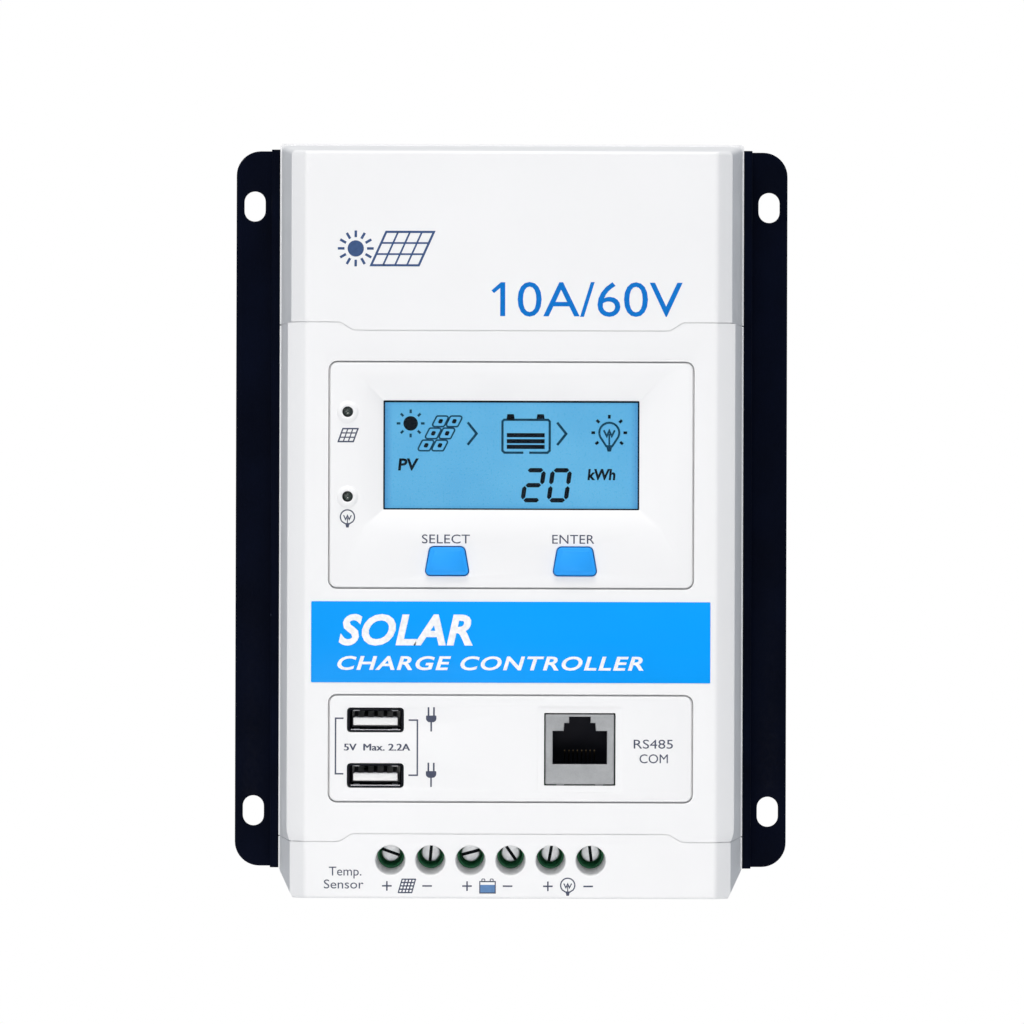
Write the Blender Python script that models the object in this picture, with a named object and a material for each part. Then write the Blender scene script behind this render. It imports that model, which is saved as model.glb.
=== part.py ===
"""Wall-mounted solar charge controller: a white case in three shells on a finned, flanged heat sink.

The front faces -Y and +Z is up. The origin is the centre of the wall face, so the wall is the plane y = 0.
Lengths below are in millimetres, and "depth" is the distance in front of the wall, which is -y.
Each mesh is scaled to metres when it is made.
"""

import math

import bmesh
import bpy
from mathutils import Matrix, Vector

MM = 0.001
GAP = 0.3

# Heat sink
FLANGE_HALF_WIDTH = 67.5
FLANGE_THICKNESS = 2.5
FLANGE_CORNER = 6.0
SINK_HALF_HEIGHT = 87.5
RAISED_HALF_WIDTH = 58.6
WEB_THICKNESS = 2.5
PLATE_BACK = 9.0
PLATE_FRONT = 12.0
FIN_PITCH = 8.0
FIN_THICKNESS = 1.6
FINS_PER_SIDE = 5
SLOT_X = 63.0
SLOT_Z = 74.0
SLOT_WIDTH = 5.2
SLOT_HEIGHT = 7.4
PEDESTAL_FRONT = 16.2

# Case
CASE_BACK = PLATE_FRONT + GAP
CASE_BACK_HALF_WIDTH = 56.5
COVER_SHOULDER = 52.9
FASCIA_SHOULDER = 53.7
SHOULDER_DEPTH = 43.4
FRONT_HALF_WIDTH = 49.2
FRONT = 46.4
CASE_TOP = 88.9
TOP_LEAN = 3.1
CASE_BOTTOM = -93.3
WALL = 2.0
RUN_OUT = 6.0
REACH = 60.0
TOP_EDGE_ROUND = 1.2
CORNER_CUT_X = 2.9
CORNER_CUT_Z = 5.8
CORNER_CUT_LEAN = 1.4
UPPER_SEAM = 44.7
UPPER_TONGUE = 42.7
LOWER_SEAM = -79.7
LOWER_TONGUE = -77.8
TONGUE_HALF_WIDTH = 38.0
TONGUE_SLOPE = 3.0
HOOK_X = (35.0, 43.0)

# Fixings
CASE_SCREW_X = 52.0
CASE_SCREW_Z = {"upper_cover": 78.0, "front_fascia": -30.0}
BOARD_SCREWS = {"top_left": (-43.0, 80.0), "top_right": (43.0, 80.0),
                "bottom_left": (-43.0, -75.5), "bottom_right": (43.0, -75.5)}
SCREW_RADIUS = 1.45
SCREW_HOLE = SCREW_RADIUS + GAP
SCREW_HEAD = 2.7
SCREW_HEAD_HEIGHT = 1.8

# Main board
BOARD_BACK = 18.0
BOARD_FRONT = 19.6
ON_BOARD = BOARD_FRONT + GAP
BOARD_HALF_WIDTH = 47.3
BOARD_LOW = -90.0
BOARD_HIGH = 84.0

# Display module, as (low x, high x, low z, high z)
MODULE_CLEARANCE = 0.4
MODULE_CORNER = 1.7
SKIRT = 1.6
PANEL = 1.8
DISPLAY = (-43.4, 43.4, -18.8, 35.0)
DISPLAY_BACK = 31.9
DISPLAY_BAY_FLOOR = 31.5
WINDOW = (-30.7, 30.7, -0.2, 26.0)
RECESS = (-35.7, 35.7, -4.4, 31.1)
RECESS_DEPTH = 2.0
WINDOW_FRAME_BACK = 42.8
LED_X = -39.2
LED_Z = {"led_pv": 23.2, "led_load": 2.9}
LED_RADIUS = 1.05
LED_COLLAR = 2.75
LED_COLLAR_TOP = 1.9
LED_COLLAR_RISE = 0.45
BUTTON_X = {"select_button": -15.3, "enter_button": 15.3}
BUTTON_Z = -12.5
BUTTON_HEIGHT = 6.7
BUTTON_BOTTOM = 10.6
BUTTON_TOP = 8.05
BUTTON_CORNER = 1.0
BUTTON_FRONT = 47.3
BUTTON_LIP = 0.8
STEM_RADIUS = 1.4

# Interface module
INTERFACE = (-43.3, 43.3, -70.0, -44.8)
INTERFACE_BACK = 25.2
INTERFACE_BAY_FLOOR = 24.5
PORT_FRONT = 46.2
USB_X = -32.35
USB_Z = {"upper": -50.6, "lower": -63.9}
USB_WIDTH = 13.2
USB_HEIGHT = 5.5
SHEET = 0.4
JACK = (8.35, 24.85, -65.9, -49.1)
JACK_FRAME = (6.5, 26.9, -67.8, -47.2)
JACK_CENTRE = 16.6

# Connectors between the modules and the main board: (low z, high z) of each header
HEADER_Z = {"display_header": (4.0, 10.0), "interface_header": (-60.0, -54.0)}

# Banner label
BANNER = (-47.8, 47.8, -41.6, -22.2)
BANNER_FRONT = 46.5
BANNER_THICKNESS = 0.4

# Terminals
POLE_PITCH = 9.6
ROW_CENTRE = -4.7
POLES = [ROW_CENTRE + (i - 2.5) * POLE_PITCH for i in range(6)]
DRIVER_HOLE_Z = -84.2
DRIVER_HOLE_RADIUS = 3.73
DRIVER_HOLE_DEEP_RADIUS = 3.15
DRIVER_HOLE_DROP = 1.06
DRIVER_TUBE_END = 35.4
TERMINAL_Z = -82.7
WELL_DROP = 0.6
WELL_MOUTH = 2.95
BLOCK = {"half_width": 9.45, "low": -91.0, "high": -77.5, "front": 35.0}
CHAMBER = {"half_width": 3.6, "high": -78.9, "back": 21.1, "front": 32.2}
CAGE = {"half_width": 3.3, "half_length": 2.7, "back": 21.5, "front": 28.7, "side": 0.8, "top": 1.6}
TERMINAL_HEAD = 2.25
TERMINAL_HEAD_BACK = 33.0
TERMINAL_HEAD_FRONT = 34.6
TERMINAL_TIP = 26.95
SLOT_ANGLES = (-20, 85, 15, -55, 80, -83)
SENSOR = (-43.0, -36.7, 19.9, 26.6)

COLOURS = {
    "navy_aluminium": ((0.006, 0.008, 0.018), 0.45, 0.6),
    "case_white": ((0.90, 0.91, 0.93), 0.35, 0.0),
    "label_blue": ((0.01, 0.33, 0.94), 0.40, 0.0),
    "button_blue": ((0.04, 0.36, 0.94), 0.35, 0.0),
    "terminal_green": ((0.02, 0.22, 0.09), 0.50, 0.0),
    "plated_steel": ((0.55, 0.55, 0.56), 0.30, 1.0),
    "black_plastic": ((0.01, 0.01, 0.012), 0.50, 0.0),
    "white_plastic": ((0.85, 0.85, 0.83), 0.45, 0.0),
    "board_green": ((0.01, 0.12, 0.05), 0.55, 0.0),
    "lcd_glass": ((0.13, 0.46, 0.78), 0.20, 0.0),
    "clear_window": ((0.90, 0.95, 1.0), 0.05, 0.0),
    "led_lens": ((0.10, 0.14, 0.12), 0.15, 0.0),
    "ferrite": ((0.05, 0.09, 0.05), 0.60, 0.0),
    "capacitor_sleeve": ((0.02, 0.03, 0.10), 0.35, 0.0),
    "silicone_pad": ((0.45, 0.45, 0.50), 0.80, 0.0),
}


# ---------------------------------------------------------------- scene and materials

def clear_scene():
    for obj in list(bpy.data.objects):
        bpy.data.objects.remove(obj)


def new_collection(name):
    collection = bpy.data.collections.new(name)
    bpy.context.scene.collection.children.link(collection)
    return collection


def new_material(name, colour, roughness, metallic):
    material = bpy.data.materials.new(name)
    material.use_nodes = True
    shader = material.node_tree.nodes["Principled BSDF"]
    shader.inputs["Base Color"].default_value = (*colour, 1.0)
    shader.inputs["Roughness"].default_value = roughness
    shader.inputs["Metallic"].default_value = metallic
    return material


clear_scene()
PARTS = new_collection("charge_controller")
CUTTERS = new_collection("cutters")
CUTTERS.hide_render = True
MATERIALS = {name: new_material(name, *values) for name, values in COLOURS.items()}


# ---------------------------------------------------------------- meshes, in metres, from sizes in millimetres

def mesh_from(bm):
    """A mesh with its faces turned outwards."""
    bmesh.ops.recalc_face_normals(bm, faces=bm.faces)
    mesh = bpy.data.meshes.new("shape")
    bm.to_mesh(mesh)
    bm.free()
    return mesh


def box(x_low, x_high, depth_low, depth_high, z_low, z_high):
    bm = bmesh.new()
    bmesh.ops.create_cube(bm, size=1.0)
    size = Vector((x_high - x_low, depth_high - depth_low, z_high - z_low))
    centre = Vector((x_low + x_high, -(depth_low + depth_high), z_low + z_high)) / 2
    bmesh.ops.transform(bm, matrix=Matrix.Diagonal((*(size * MM), 1.0)), verts=bm.verts)
    bmesh.ops.translate(bm, vec=centre * MM, verts=bm.verts)
    return mesh_from(bm)


def tapered_box(back, front, depth_back, depth_front):
    """A block whose front and back are different (low x, high x, low z, high z) rectangles."""
    bm = bmesh.new()
    bmesh.ops.create_cube(bm, size=2.0)
    for vert in bm.verts:
        is_front = vert.co.y < 0
        x_low, x_high, z_low, z_high = front if is_front else back
        x = x_high if vert.co.x > 0 else x_low
        z = z_high if vert.co.z > 0 else z_low
        vert.co = Vector((x, -(depth_front if is_front else depth_back), z)) * MM
    return mesh_from(bm)


def cylinder(x, z, radius, depth_back, depth_front, segments=20, front_radius=None, front_drop=0.0):
    """A round piece whose axis runs front to back. front_radius makes it a cone, and front_drop skews it."""
    bm = bmesh.new()
    top = radius if front_radius is None else front_radius
    bmesh.ops.create_cone(bm, cap_ends=True, segments=segments, radius1=radius * MM, radius2=top * MM,
                          depth=(depth_front - depth_back) * MM)
    bmesh.ops.rotate(bm, cent=(0, 0, 0), matrix=Matrix.Rotation(math.radians(90), 3, "X"), verts=bm.verts)
    front = [vert for vert in bm.verts if vert.co.y < 0]
    bmesh.ops.translate(bm, vec=Vector((0, 0, -front_drop)) * MM, verts=front)
    middle = Vector((x, -(depth_back + depth_front) / 2, z)) * MM
    bmesh.ops.translate(bm, vec=middle, verts=bm.verts)
    return mesh_from(bm)


def filled_outline(points, thickness):
    """A flat outline in XY made solid along Z, centred on z = 0, by way of a filled 2D curve."""
    curve = bpy.data.curves.new("outline", "CURVE")
    curve.dimensions = "2D"
    curve.fill_mode = "BOTH"
    curve.extrude = thickness * MM / 2
    spline = curve.splines.new("POLY")
    spline.points.add(len(points) - 1)
    for point, (u, v) in zip(spline.points, points):
        point.co = (u * MM, v * MM, 0.0, 1.0)
    spline.use_cyclic_u = True
    outline = bpy.data.objects.new("outline", curve)
    bpy.context.scene.collection.objects.link(outline)
    graph = bpy.context.evaluated_depsgraph_get()
    mesh = bpy.data.meshes.new_from_object(outline.evaluated_get(graph))
    bpy.data.objects.remove(outline)
    bm = bmesh.new()
    bm.from_mesh(mesh)
    bmesh.ops.remove_doubles(bm, verts=bm.verts, dist=1e-6)
    bpy.data.meshes.remove(mesh)
    return bm


def front_prism(outline, depth_back, depth_front):
    """A solid from an (x, z) outline as seen from the front."""
    bm = filled_outline(outline, depth_front - depth_back)
    bmesh.ops.rotate(bm, cent=(0, 0, 0), matrix=Matrix.Rotation(math.radians(90), 3, "X"), verts=bm.verts)
    bmesh.ops.translate(bm, vec=Vector((0, -(depth_back + depth_front) / 2, 0)) * MM, verts=bm.verts)
    return mesh_from(bm)


def upright_prism(section, z_low, z_high):
    """A bmesh solid from an (x, depth) cross-section, standing between two heights."""
    bm = filled_outline([(x, -depth) for x, depth in section], z_high - z_low)
    bmesh.ops.translate(bm, vec=Vector((0, 0, (z_low + z_high) / 2)) * MM, verts=bm.verts)
    return bm


def rounded_rectangle(rectangle, radius, grow=0.0, steps=4):
    """The (x, z) outline of a rectangle with round corners, moved outwards by grow."""
    x_low, x_high, z_low, z_high = rectangle
    x_low, x_high, z_low, z_high = x_low - grow, x_high + grow, z_low - grow, z_high + grow
    centres = [(x_high - radius, z_high - radius, 0), (x_low + radius, z_high - radius, 90),
               (x_low + radius, z_low + radius, 180), (x_high - radius, z_low + radius, 270)]
    outline = []
    for x, z, start in centres:
        for step in range(steps + 1):
            angle = math.radians(start + 90 * step / steps)
            outline.append((x + radius * math.cos(angle), z + radius * math.sin(angle)))
    return outline


def merged(meshes):
    """Several meshes as one, each still a separate shell."""
    bm = bmesh.new()
    for mesh in meshes:
        bm.from_mesh(mesh)
        bpy.data.meshes.remove(mesh)
    mesh = bpy.data.meshes.new("shape")
    bm.to_mesh(mesh)
    bm.free()
    return mesh


# ---------------------------------------------------------------- objects

def piece(name, mesh, material, parent=None, origin=None):
    """A named sub-part. origin, in millimetres as (x, depth, z), is a point on its joint's axis."""
    mesh.name = name
    obj = bpy.data.objects.new(name, mesh)
    PARTS.objects.link(obj)
    mesh.materials.append(MATERIALS[material])
    if origin:
        place = Vector((origin[0], -origin[1], origin[2])) * MM
        mesh.transform(Matrix.Translation(-place))
        obj.location = place
    if parent:
        obj.parent = parent
    return obj


def pivot(name):
    """An empty at the wall origin that carries a module's pieces."""
    empty = bpy.data.objects.new(name, None)
    PARTS.objects.link(empty)
    return empty


def boolean(obj, mesh, operation):
    """The mesh, in the object's own world place, is cut from it, joined to it or kept in common with it."""
    tool = bpy.data.objects.new(f"{obj.name}_{operation.lower()}", mesh)
    CUTTERS.objects.link(tool)
    tool.hide_render = True
    tool.display_type = "WIRE"
    modifier = obj.modifiers.new(operation.title(), "BOOLEAN")
    modifier.operation = operation
    modifier.object = tool


def cut(obj, *meshes):
    boolean(obj, merged(meshes), "DIFFERENCE")


def join(obj, *meshes):
    boolean(obj, merged(meshes), "UNION")


def keep_within(obj, mesh):
    boolean(obj, mesh, "INTERSECT")


def mirrored_pairs(x, z):
    return [(-x, z), (x, z)]


# ---------------------------------------------------------------- heat sink

def heat_sink_section():
    """Flange, web, plate and fins in one line around the extrusion's cross-section."""
    web_inside = RAISED_HALF_WIDTH - WEB_THICKNESS
    section = [(-FLANGE_HALF_WIDTH, 0.0), (-FLANGE_HALF_WIDTH, FLANGE_THICKNESS),
               (-RAISED_HALF_WIDTH, FLANGE_THICKNESS), (-RAISED_HALF_WIDTH, PLATE_FRONT),
               (RAISED_HALF_WIDTH, PLATE_FRONT), (RAISED_HALF_WIDTH, FLANGE_THICKNESS),
               (FLANGE_HALF_WIDTH, FLANGE_THICKNESS), (FLANGE_HALF_WIDTH, 0.0),
               (web_inside, 0.0), (web_inside, PLATE_BACK)]
    for index in range(FINS_PER_SIDE, -FINS_PER_SIDE - 1, -1):
        right = index * FIN_PITCH + FIN_THICKNESS / 2
        left = right - FIN_THICKNESS
        section += [(right, PLATE_BACK), (right, 0.0), (left, 0.0), (left, PLATE_BACK)]
    section += [(-web_inside, PLATE_BACK), (-web_inside, 0.0)]
    return section


def make_heat_sink():
    extrusion = upright_prism(heat_sink_section(), -SINK_HALF_HEIGHT, SINK_HALF_HEIGHT)
    sink = piece("heat_sink", mesh_from(extrusion), "navy_aluminium")
    face = (-FLANGE_HALF_WIDTH, FLANGE_HALF_WIDTH, -SINK_HALF_HEIGHT, SINK_HALF_HEIGHT)
    keep_within(sink, front_prism(rounded_rectangle(face, FLANGE_CORNER), -2.0, PLATE_FRONT + 2.0))
    standoffs = [cylinder(x, z, 3.0, PLATE_BACK + 1.0, BOARD_BACK - GAP) for x, z in BOARD_SCREWS.values()]
    pedestal = box(-28, 28, PLATE_BACK + 1.0, PEDESTAL_FRONT, 54, 76)
    join(sink, pedestal, *standoffs)
    slots = []
    for x in (-SLOT_X, SLOT_X):
        for z in (-SLOT_Z, SLOT_Z):
            around = (x - SLOT_WIDTH / 2, x + SLOT_WIDTH / 2, z - SLOT_HEIGHT / 2, z + SLOT_HEIGHT / 2)
            slots.append(front_prism(rounded_rectangle(around, SLOT_WIDTH / 2 - 0.01), -2.0, 6.0))
    through = [cylinder(x, z, SCREW_HOLE, PLATE_BACK - 1.0, PLATE_FRONT + 1.0, 12)
               for height in CASE_SCREW_Z.values() for x, z in mirrored_pairs(CASE_SCREW_X, height)]
    blind = [cylinder(x, z, SCREW_HOLE, PLATE_FRONT + 1.0, BOARD_BACK + 1.0, 12)
             for x, z in BOARD_SCREWS.values()]
    cut(sink, *slots, *through, *blind)


# ---------------------------------------------------------------- case

def case_section(shoulder, inset):
    """The case's (x, depth) cross-section, its walls moved in by inset. It runs on behind the case's back."""
    draft = (CASE_BACK_HALF_WIDTH - shoulder) / (SHOULDER_DEPTH - CASE_BACK)
    right = [(CASE_BACK_HALF_WIDTH - inset + draft * RUN_OUT, CASE_BACK - RUN_OUT),
             (shoulder - inset, SHOULDER_DEPTH - 0.6 * inset),
             (FRONT_HALF_WIDTH - 0.4 * inset, FRONT - inset)]
    return right + [(-x, depth) for x, depth in reversed(right)]


def cut_bottom_corners(bm, inset):
    """Cuts both bottom corners on a plane that leans inwards towards the front."""
    slope = Vector((-CORNER_CUT_X, 0, -CORNER_CUT_Z))
    lean = Vector((-CORNER_CUT_LEAN, -(SHOULDER_DEPTH - CASE_BACK), 0))
    normal = lean.cross(slope).normalized()
    if normal.x < 0:
        normal = -normal
    corner = Vector((CASE_BACK_HALF_WIDTH - CORNER_CUT_X, -CASE_BACK, CASE_BOTTOM)) - normal * inset
    for side in (1, -1):
        flip = Vector((side, 1, 1))
        everything = bm.verts[:] + bm.edges[:] + bm.faces[:]
        bmesh.ops.bisect_plane(bm, geom=everything, plane_co=corner * flip * MM, plane_no=normal * flip,
                               clear_outer=True)
        bmesh.ops.holes_fill(bm, edges=[edge for edge in bm.edges if edge.is_boundary])


def top_plane(inset):
    """A point on the top wall and its normal. The wall falls towards the front as the sides draw in."""
    point = Vector((0, -CASE_BACK, CASE_TOP - inset)) * MM
    return point, Vector((0, -TOP_LEAN, FRONT - CASE_BACK)).normalized()


def case_blank(shoulder, inset, z_low, z_high):
    bm = upright_prism(case_section(shoulder, inset), z_low, z_high)
    cut_bottom_corners(bm, inset)
    point, normal = top_plane(inset)
    everything = bm.verts[:] + bm.edges[:] + bm.faces[:]
    bmesh.ops.bisect_plane(bm, geom=everything, plane_co=point, plane_no=normal, clear_outer=True)
    bmesh.ops.holes_fill(bm, edges=[edge for edge in bm.edges if edge.is_boundary])
    return bm


def round_top_edges(bm, radius):
    """Rounds the top wall's edges, except the one behind the case's back."""
    point, normal = top_plane(0.0)
    behind = -(CASE_BACK - RUN_OUT) * MM
    edges = [edge for edge in bm.edges
             if all(abs((vert.co - point).dot(normal)) < 1e-6 for vert in edge.verts)
             and any(abs(vert.co.y - behind) > 1e-6 for vert in edge.verts)]
    bmesh.ops.bevel(bm, geom=edges, offset=radius * MM, segments=3, profile=0.5, affect="EDGES",
                    clamp_overlap=True)


def seam_line(side_height, tongue_height, shift):
    """The stepped seam from left to right, with its tongue in the middle."""
    outer = TONGUE_HALF_WIDTH + TONGUE_SLOPE
    return [(-REACH, side_height + shift), (-outer, side_height + shift),
            (-TONGUE_HALF_WIDTH, tongue_height + shift), (TONGUE_HALF_WIDTH, tongue_height + shift),
            (outer, side_height + shift), (REACH, side_height + shift)]


def screw_bosses(height):
    posts = [cylinder(x, z, 2.8, CASE_BACK, 24.0, 12) for x, z in mirrored_pairs(CASE_SCREW_X, height)]
    holes = [cylinder(x, z, SCREW_HOLE, CASE_BACK - 1.0, 21.0, 12)
             for x, z in mirrored_pairs(CASE_SCREW_X, height)]
    return posts, holes


def hooks(z_low, z_high, root_low, root_high):
    """Two flat hooks that reach behind the fascia's front wall, and the roots that carry them."""
    meshes = []
    for side in (-1, 1):
        x_low, x_high = sorted((side * HOOK_X[0], side * HOOK_X[1]))
        meshes.append(box(x_low, x_high, 42.3, FRONT - WALL - GAP, z_low, z_high))
        meshes.append(box(x_low + 0.5, x_high - 0.5, 43.0, FRONT - WALL / 2, root_low, root_high))
    return meshes


def make_upper_cover():
    outer = case_blank(COVER_SHOULDER, 0.0, UPPER_TONGUE - 5, CASE_TOP + TOP_LEAN)
    round_top_edges(outer, TOP_EDGE_ROUND)
    cover = piece("upper_cover", mesh_from(outer), "case_white")
    cut(cover, mesh_from(case_blank(COVER_SHOULDER, WALL, UPPER_TONGUE - 6, CASE_TOP + TOP_LEAN)))
    seam = seam_line(UPPER_SEAM, UPPER_TONGUE, GAP / 2)
    keep_within(cover, front_prism([*seam, (REACH, 95), (-REACH, 95)], CASE_BACK, REACH))
    posts, holes = screw_bosses(CASE_SCREW_Z["upper_cover"])
    catches = hooks(40.5, 48.5, 46.0, 48.0)
    join(cover, *posts, *catches[0::2])
    join(cover, *catches[1::2])
    cut(cover, *holes)


def make_front_fascia():
    outer = case_blank(FASCIA_SHOULDER, 0.0, LOWER_SEAM - 5, UPPER_SEAM + 5)
    fascia = piece("front_fascia", mesh_from(outer), "case_white")
    cut(fascia, mesh_from(case_blank(FASCIA_SHOULDER, WALL, LOWER_SEAM - 6, UPPER_SEAM + 6)))
    above = seam_line(UPPER_SEAM, UPPER_TONGUE, -GAP / 2)
    below = seam_line(LOWER_SEAM, LOWER_TONGUE, GAP / 2)
    keep_within(fascia, front_prism([*below, *reversed(above)], CASE_BACK, REACH))
    posts, holes = screw_bosses(CASE_SCREW_Z["front_fascia"])
    bays = [bay(DISPLAY, DISPLAY_BAY_FLOOR), bay(INTERFACE, INTERFACE_BAY_FLOOR)]
    join(fascia, *posts, *bays)
    cut(fascia,
        front_prism(rounded_rectangle(DISPLAY, MODULE_CORNER, MODULE_CLEARANCE), DISPLAY_BAY_FLOOR, 50.0),
        front_prism(rounded_rectangle(INTERFACE, MODULE_CORNER, MODULE_CLEARANCE), INTERFACE_BAY_FLOOR, 50.0),
        box(BANNER[0] - GAP, BANNER[1] + GAP, BANNER_FRONT - BANNER_THICKNESS - GAP, 50.0,
            BANNER[2] - GAP, BANNER[3] + GAP),
        *holes)
    cut(fascia, *[box(-11, 11, floor - 3.0, floor + 1.0, HEADER_Z[header][0] - 1, HEADER_Z[header][1] + 1)
                  for header, floor in (("display_header", DISPLAY_BAY_FLOOR),
                                        ("interface_header", INTERFACE_BAY_FLOOR))])


def bay(rectangle, floor):
    """The solid block that a module's bay is cut from."""
    x_low, x_high, z_low, z_high = rectangle
    grow = MODULE_CLEARANCE + WALL
    return box(x_low - grow, x_high + grow, floor - 1.5, FRONT - WALL / 2, z_low - grow, z_high + grow)


def make_banner_label():
    x_low, x_high, z_low, z_high = BANNER
    label = box(x_low, x_high, BANNER_FRONT - BANNER_THICKNESS, BANNER_FRONT, z_low, z_high)
    piece("banner_label", label, "label_blue")


def make_terminal_cover():
    outer = case_blank(COVER_SHOULDER, 0.0, CASE_BOTTOM, LOWER_TONGUE + 5)
    cover = piece("terminal_cover", mesh_from(outer), "case_white")
    hollow = case_blank(COVER_SHOULDER, WALL, CASE_BOTTOM + WALL, LOWER_TONGUE + 6)
    cut(cover, mesh_from(hollow))
    seam = seam_line(LOWER_SEAM, LOWER_TONGUE, -GAP / 2)
    keep_within(cover, front_prism([(-REACH, -99), (REACH, -99), *reversed(seam)], CASE_BACK, REACH))
    lip = box(-50, 50, CASE_BACK, CASE_BACK + WALL, CASE_BOTTOM + WALL / 2, -SINK_HALF_HEIGHT - GAP)
    deep_z = DRIVER_HOLE_Z + DRIVER_HOLE_DROP
    tubes = [cylinder(x, deep_z, 4.4, DRIVER_TUBE_END, FRONT - WALL / 2, 20, 4.6, DRIVER_HOLE_DROP * 0.8)
             for x in POLES]
    catches = hooks(-84.0, -75.5, -83.5, -81.5)
    join(cover, lip, *tubes, *catches[0::2])
    join(cover, *catches[1::2])
    drivers = [cylinder(x, deep_z, DRIVER_HOLE_DEEP_RADIUS, DRIVER_TUBE_END - 1.0, FRONT + 1.0, 24,
                        DRIVER_HOLE_RADIUS, DRIVER_HOLE_DROP) for x in POLES]
    entries = [box(x - 3.6, x + 3.6, 21.1, 30.0, CASE_BOTTOM - 1, CASE_BOTTOM + WALL + 1) for x in POLES]
    sensor = box(SENSOR[0] + 0.6, SENSOR[1] - 0.6, 20.7, 25.9, CASE_BOTTOM - 1, CASE_BOTTOM + WALL + 1)
    cut(cover, *drivers, *entries, sensor)


def make_case_screws():
    for part, height in CASE_SCREW_Z.items():
        for (x, z), side in zip(mirrored_pairs(CASE_SCREW_X, height), ("left", "right")):
            row = "upper" if part == "upper_cover" else "lower"
            head_front = PLATE_BACK - GAP
            head = cylinder(x, z, SCREW_HEAD, head_front - SCREW_HEAD_HEIGHT, head_front, 16)
            screw = piece(f"case_screw_{row}_{side}", head, "plated_steel")
            join(screw, cylinder(x, z, SCREW_RADIUS, head_front - 0.5, 19.5, 12))
            cut(screw, cylinder(x, z, 1.2, head_front - 3.0, head_front - 0.9, 6))


# ---------------------------------------------------------------- main board and what stands on it

def make_main_board():
    board = piece("main_board", box(-BOARD_HALF_WIDTH, BOARD_HALF_WIDTH, BOARD_BACK, BOARD_FRONT,
                                    BOARD_LOW, BOARD_HIGH), "board_green")
    cut(board, *[cylinder(x, z, SCREW_HOLE, BOARD_BACK - 1, BOARD_FRONT + 1, 12)
                 for x, z in BOARD_SCREWS.values()])
    for place, (x, z) in BOARD_SCREWS.items():
        screw = piece(f"board_screw_{place}", cylinder(x, z, SCREW_HEAD, ON_BOARD, ON_BOARD + 1.8, 16),
                      "plated_steel")
        join(screw, cylinder(x, z, SCREW_RADIUS, 14.0, ON_BOARD + 0.5, 12))
        cut(screw, cylinder(x, z, 1.2, ON_BOARD + 0.9, ON_BOARD + 3.0, 6))


def make_power_parts():
    piece("thermal_pad", box(-28, 28, PEDESTAL_FRONT + GAP, BOARD_BACK - GAP, 54, 76), "silicone_pad")
    bm = bmesh.new()
    ring, wire, around = 10.0, 5.5, 28
    profile = bmesh.ops.create_circle(bm, segments=12, radius=wire * MM)["verts"]
    bmesh.ops.rotate(bm, cent=(0, 0, 0), matrix=Matrix.Rotation(math.radians(90), 3, "Y"), verts=profile)
    bmesh.ops.translate(bm, vec=(0, 0, ring * MM), verts=profile)
    bmesh.ops.spin(bm, geom=bm.edges[:], cent=(0, 0, 0), axis=(0, 1, 0), angle=math.tau, steps=around,
                   use_merge=True)
    bmesh.ops.remove_doubles(bm, verts=bm.verts, dist=1e-6)
    bmesh.ops.translate(bm, vec=Vector((-24, -(ON_BOARD + wire), 66)) * MM, verts=bm.verts)
    piece("power_inductor", mesh_from(bm), "ferrite")
    for number, x in ((1, 10.0), (2, 31.0)):
        piece(f"capacitor_{number}", cylinder(x, 66, 8.0, ON_BOARD, 39.9, 24), "capacitor_sleeve")
    for number, x in ((1, -20.0), (2, 20.0)):
        piece(f"power_transistor_{number}", box(x - 5, x + 5, ON_BOARD, 24.4, 17.5, 27.0), "black_plastic")


def make_header(name, front):
    """The main board's socket for a module's plug."""
    z_low, z_high = HEADER_Z[name]
    middle = (z_low + z_high) / 2
    header = piece(name, box(-10, 10, ON_BOARD, front, z_low, z_high), "black_plastic")
    cut(header, box(-8, 8, front - 4.0, front + 1, middle - 1.2, middle + 1.2))


def plug_mesh(name, front, back, tip):
    """A module's plug: a block, and a tongue that reaches into the header."""
    z_low, z_high = HEADER_Z[name]
    middle = (z_low + z_high) / 2
    block = box(-9, 9, back, front, z_low + 1, z_high - 1)
    tongue = box(-7.5, 7.5, tip, back + 1.0, middle - 0.8, middle + 0.8)
    return block, tongue


def make_sensor_port():
    x_low, x_high, back, front = SENSOR
    port = piece("temperature_sensor_port", box(x_low, x_high, back, front, -91.0, -81.0), "terminal_green")
    cut(port, box(x_low + 0.8, x_high - 0.8, 20.8, 25.8, -93.0, -83.0))


# ---------------------------------------------------------------- display module

def button_outline(centre, grow):
    """A trapezoid with round corners, wider at the bottom."""
    half_bottom = BUTTON_BOTTOM / 2 + grow
    half_top = BUTTON_TOP / 2 + grow
    low, high = BUTTON_Z - BUTTON_HEIGHT / 2 - grow, BUTTON_Z + BUTTON_HEIGHT / 2 + grow
    radius = BUTTON_CORNER + grow
    lean = math.atan2(half_bottom - half_top, high - low)
    corners = [(half_top, high, lean, math.pi / 2), (-half_top, high, math.pi / 2, math.pi - lean),
               (-half_bottom, low, math.pi - lean, 3 * math.pi / 2),
               (half_bottom, low, -math.pi / 2, lean)]
    outline = []
    for x, z, start, end in corners:
        half_turn = (end - start) / 2
        reach = radius / math.cos(half_turn)
        toward = (start + end) / 2
        x_centre = centre + x - reach * math.cos(toward)
        z_centre = z - reach * math.sin(toward)
        for step in range(4):
            angle = start + (end - start) * step / 3
            outline.append((x_centre + radius * math.cos(angle), z_centre + radius * math.sin(angle)))
    return outline


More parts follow.
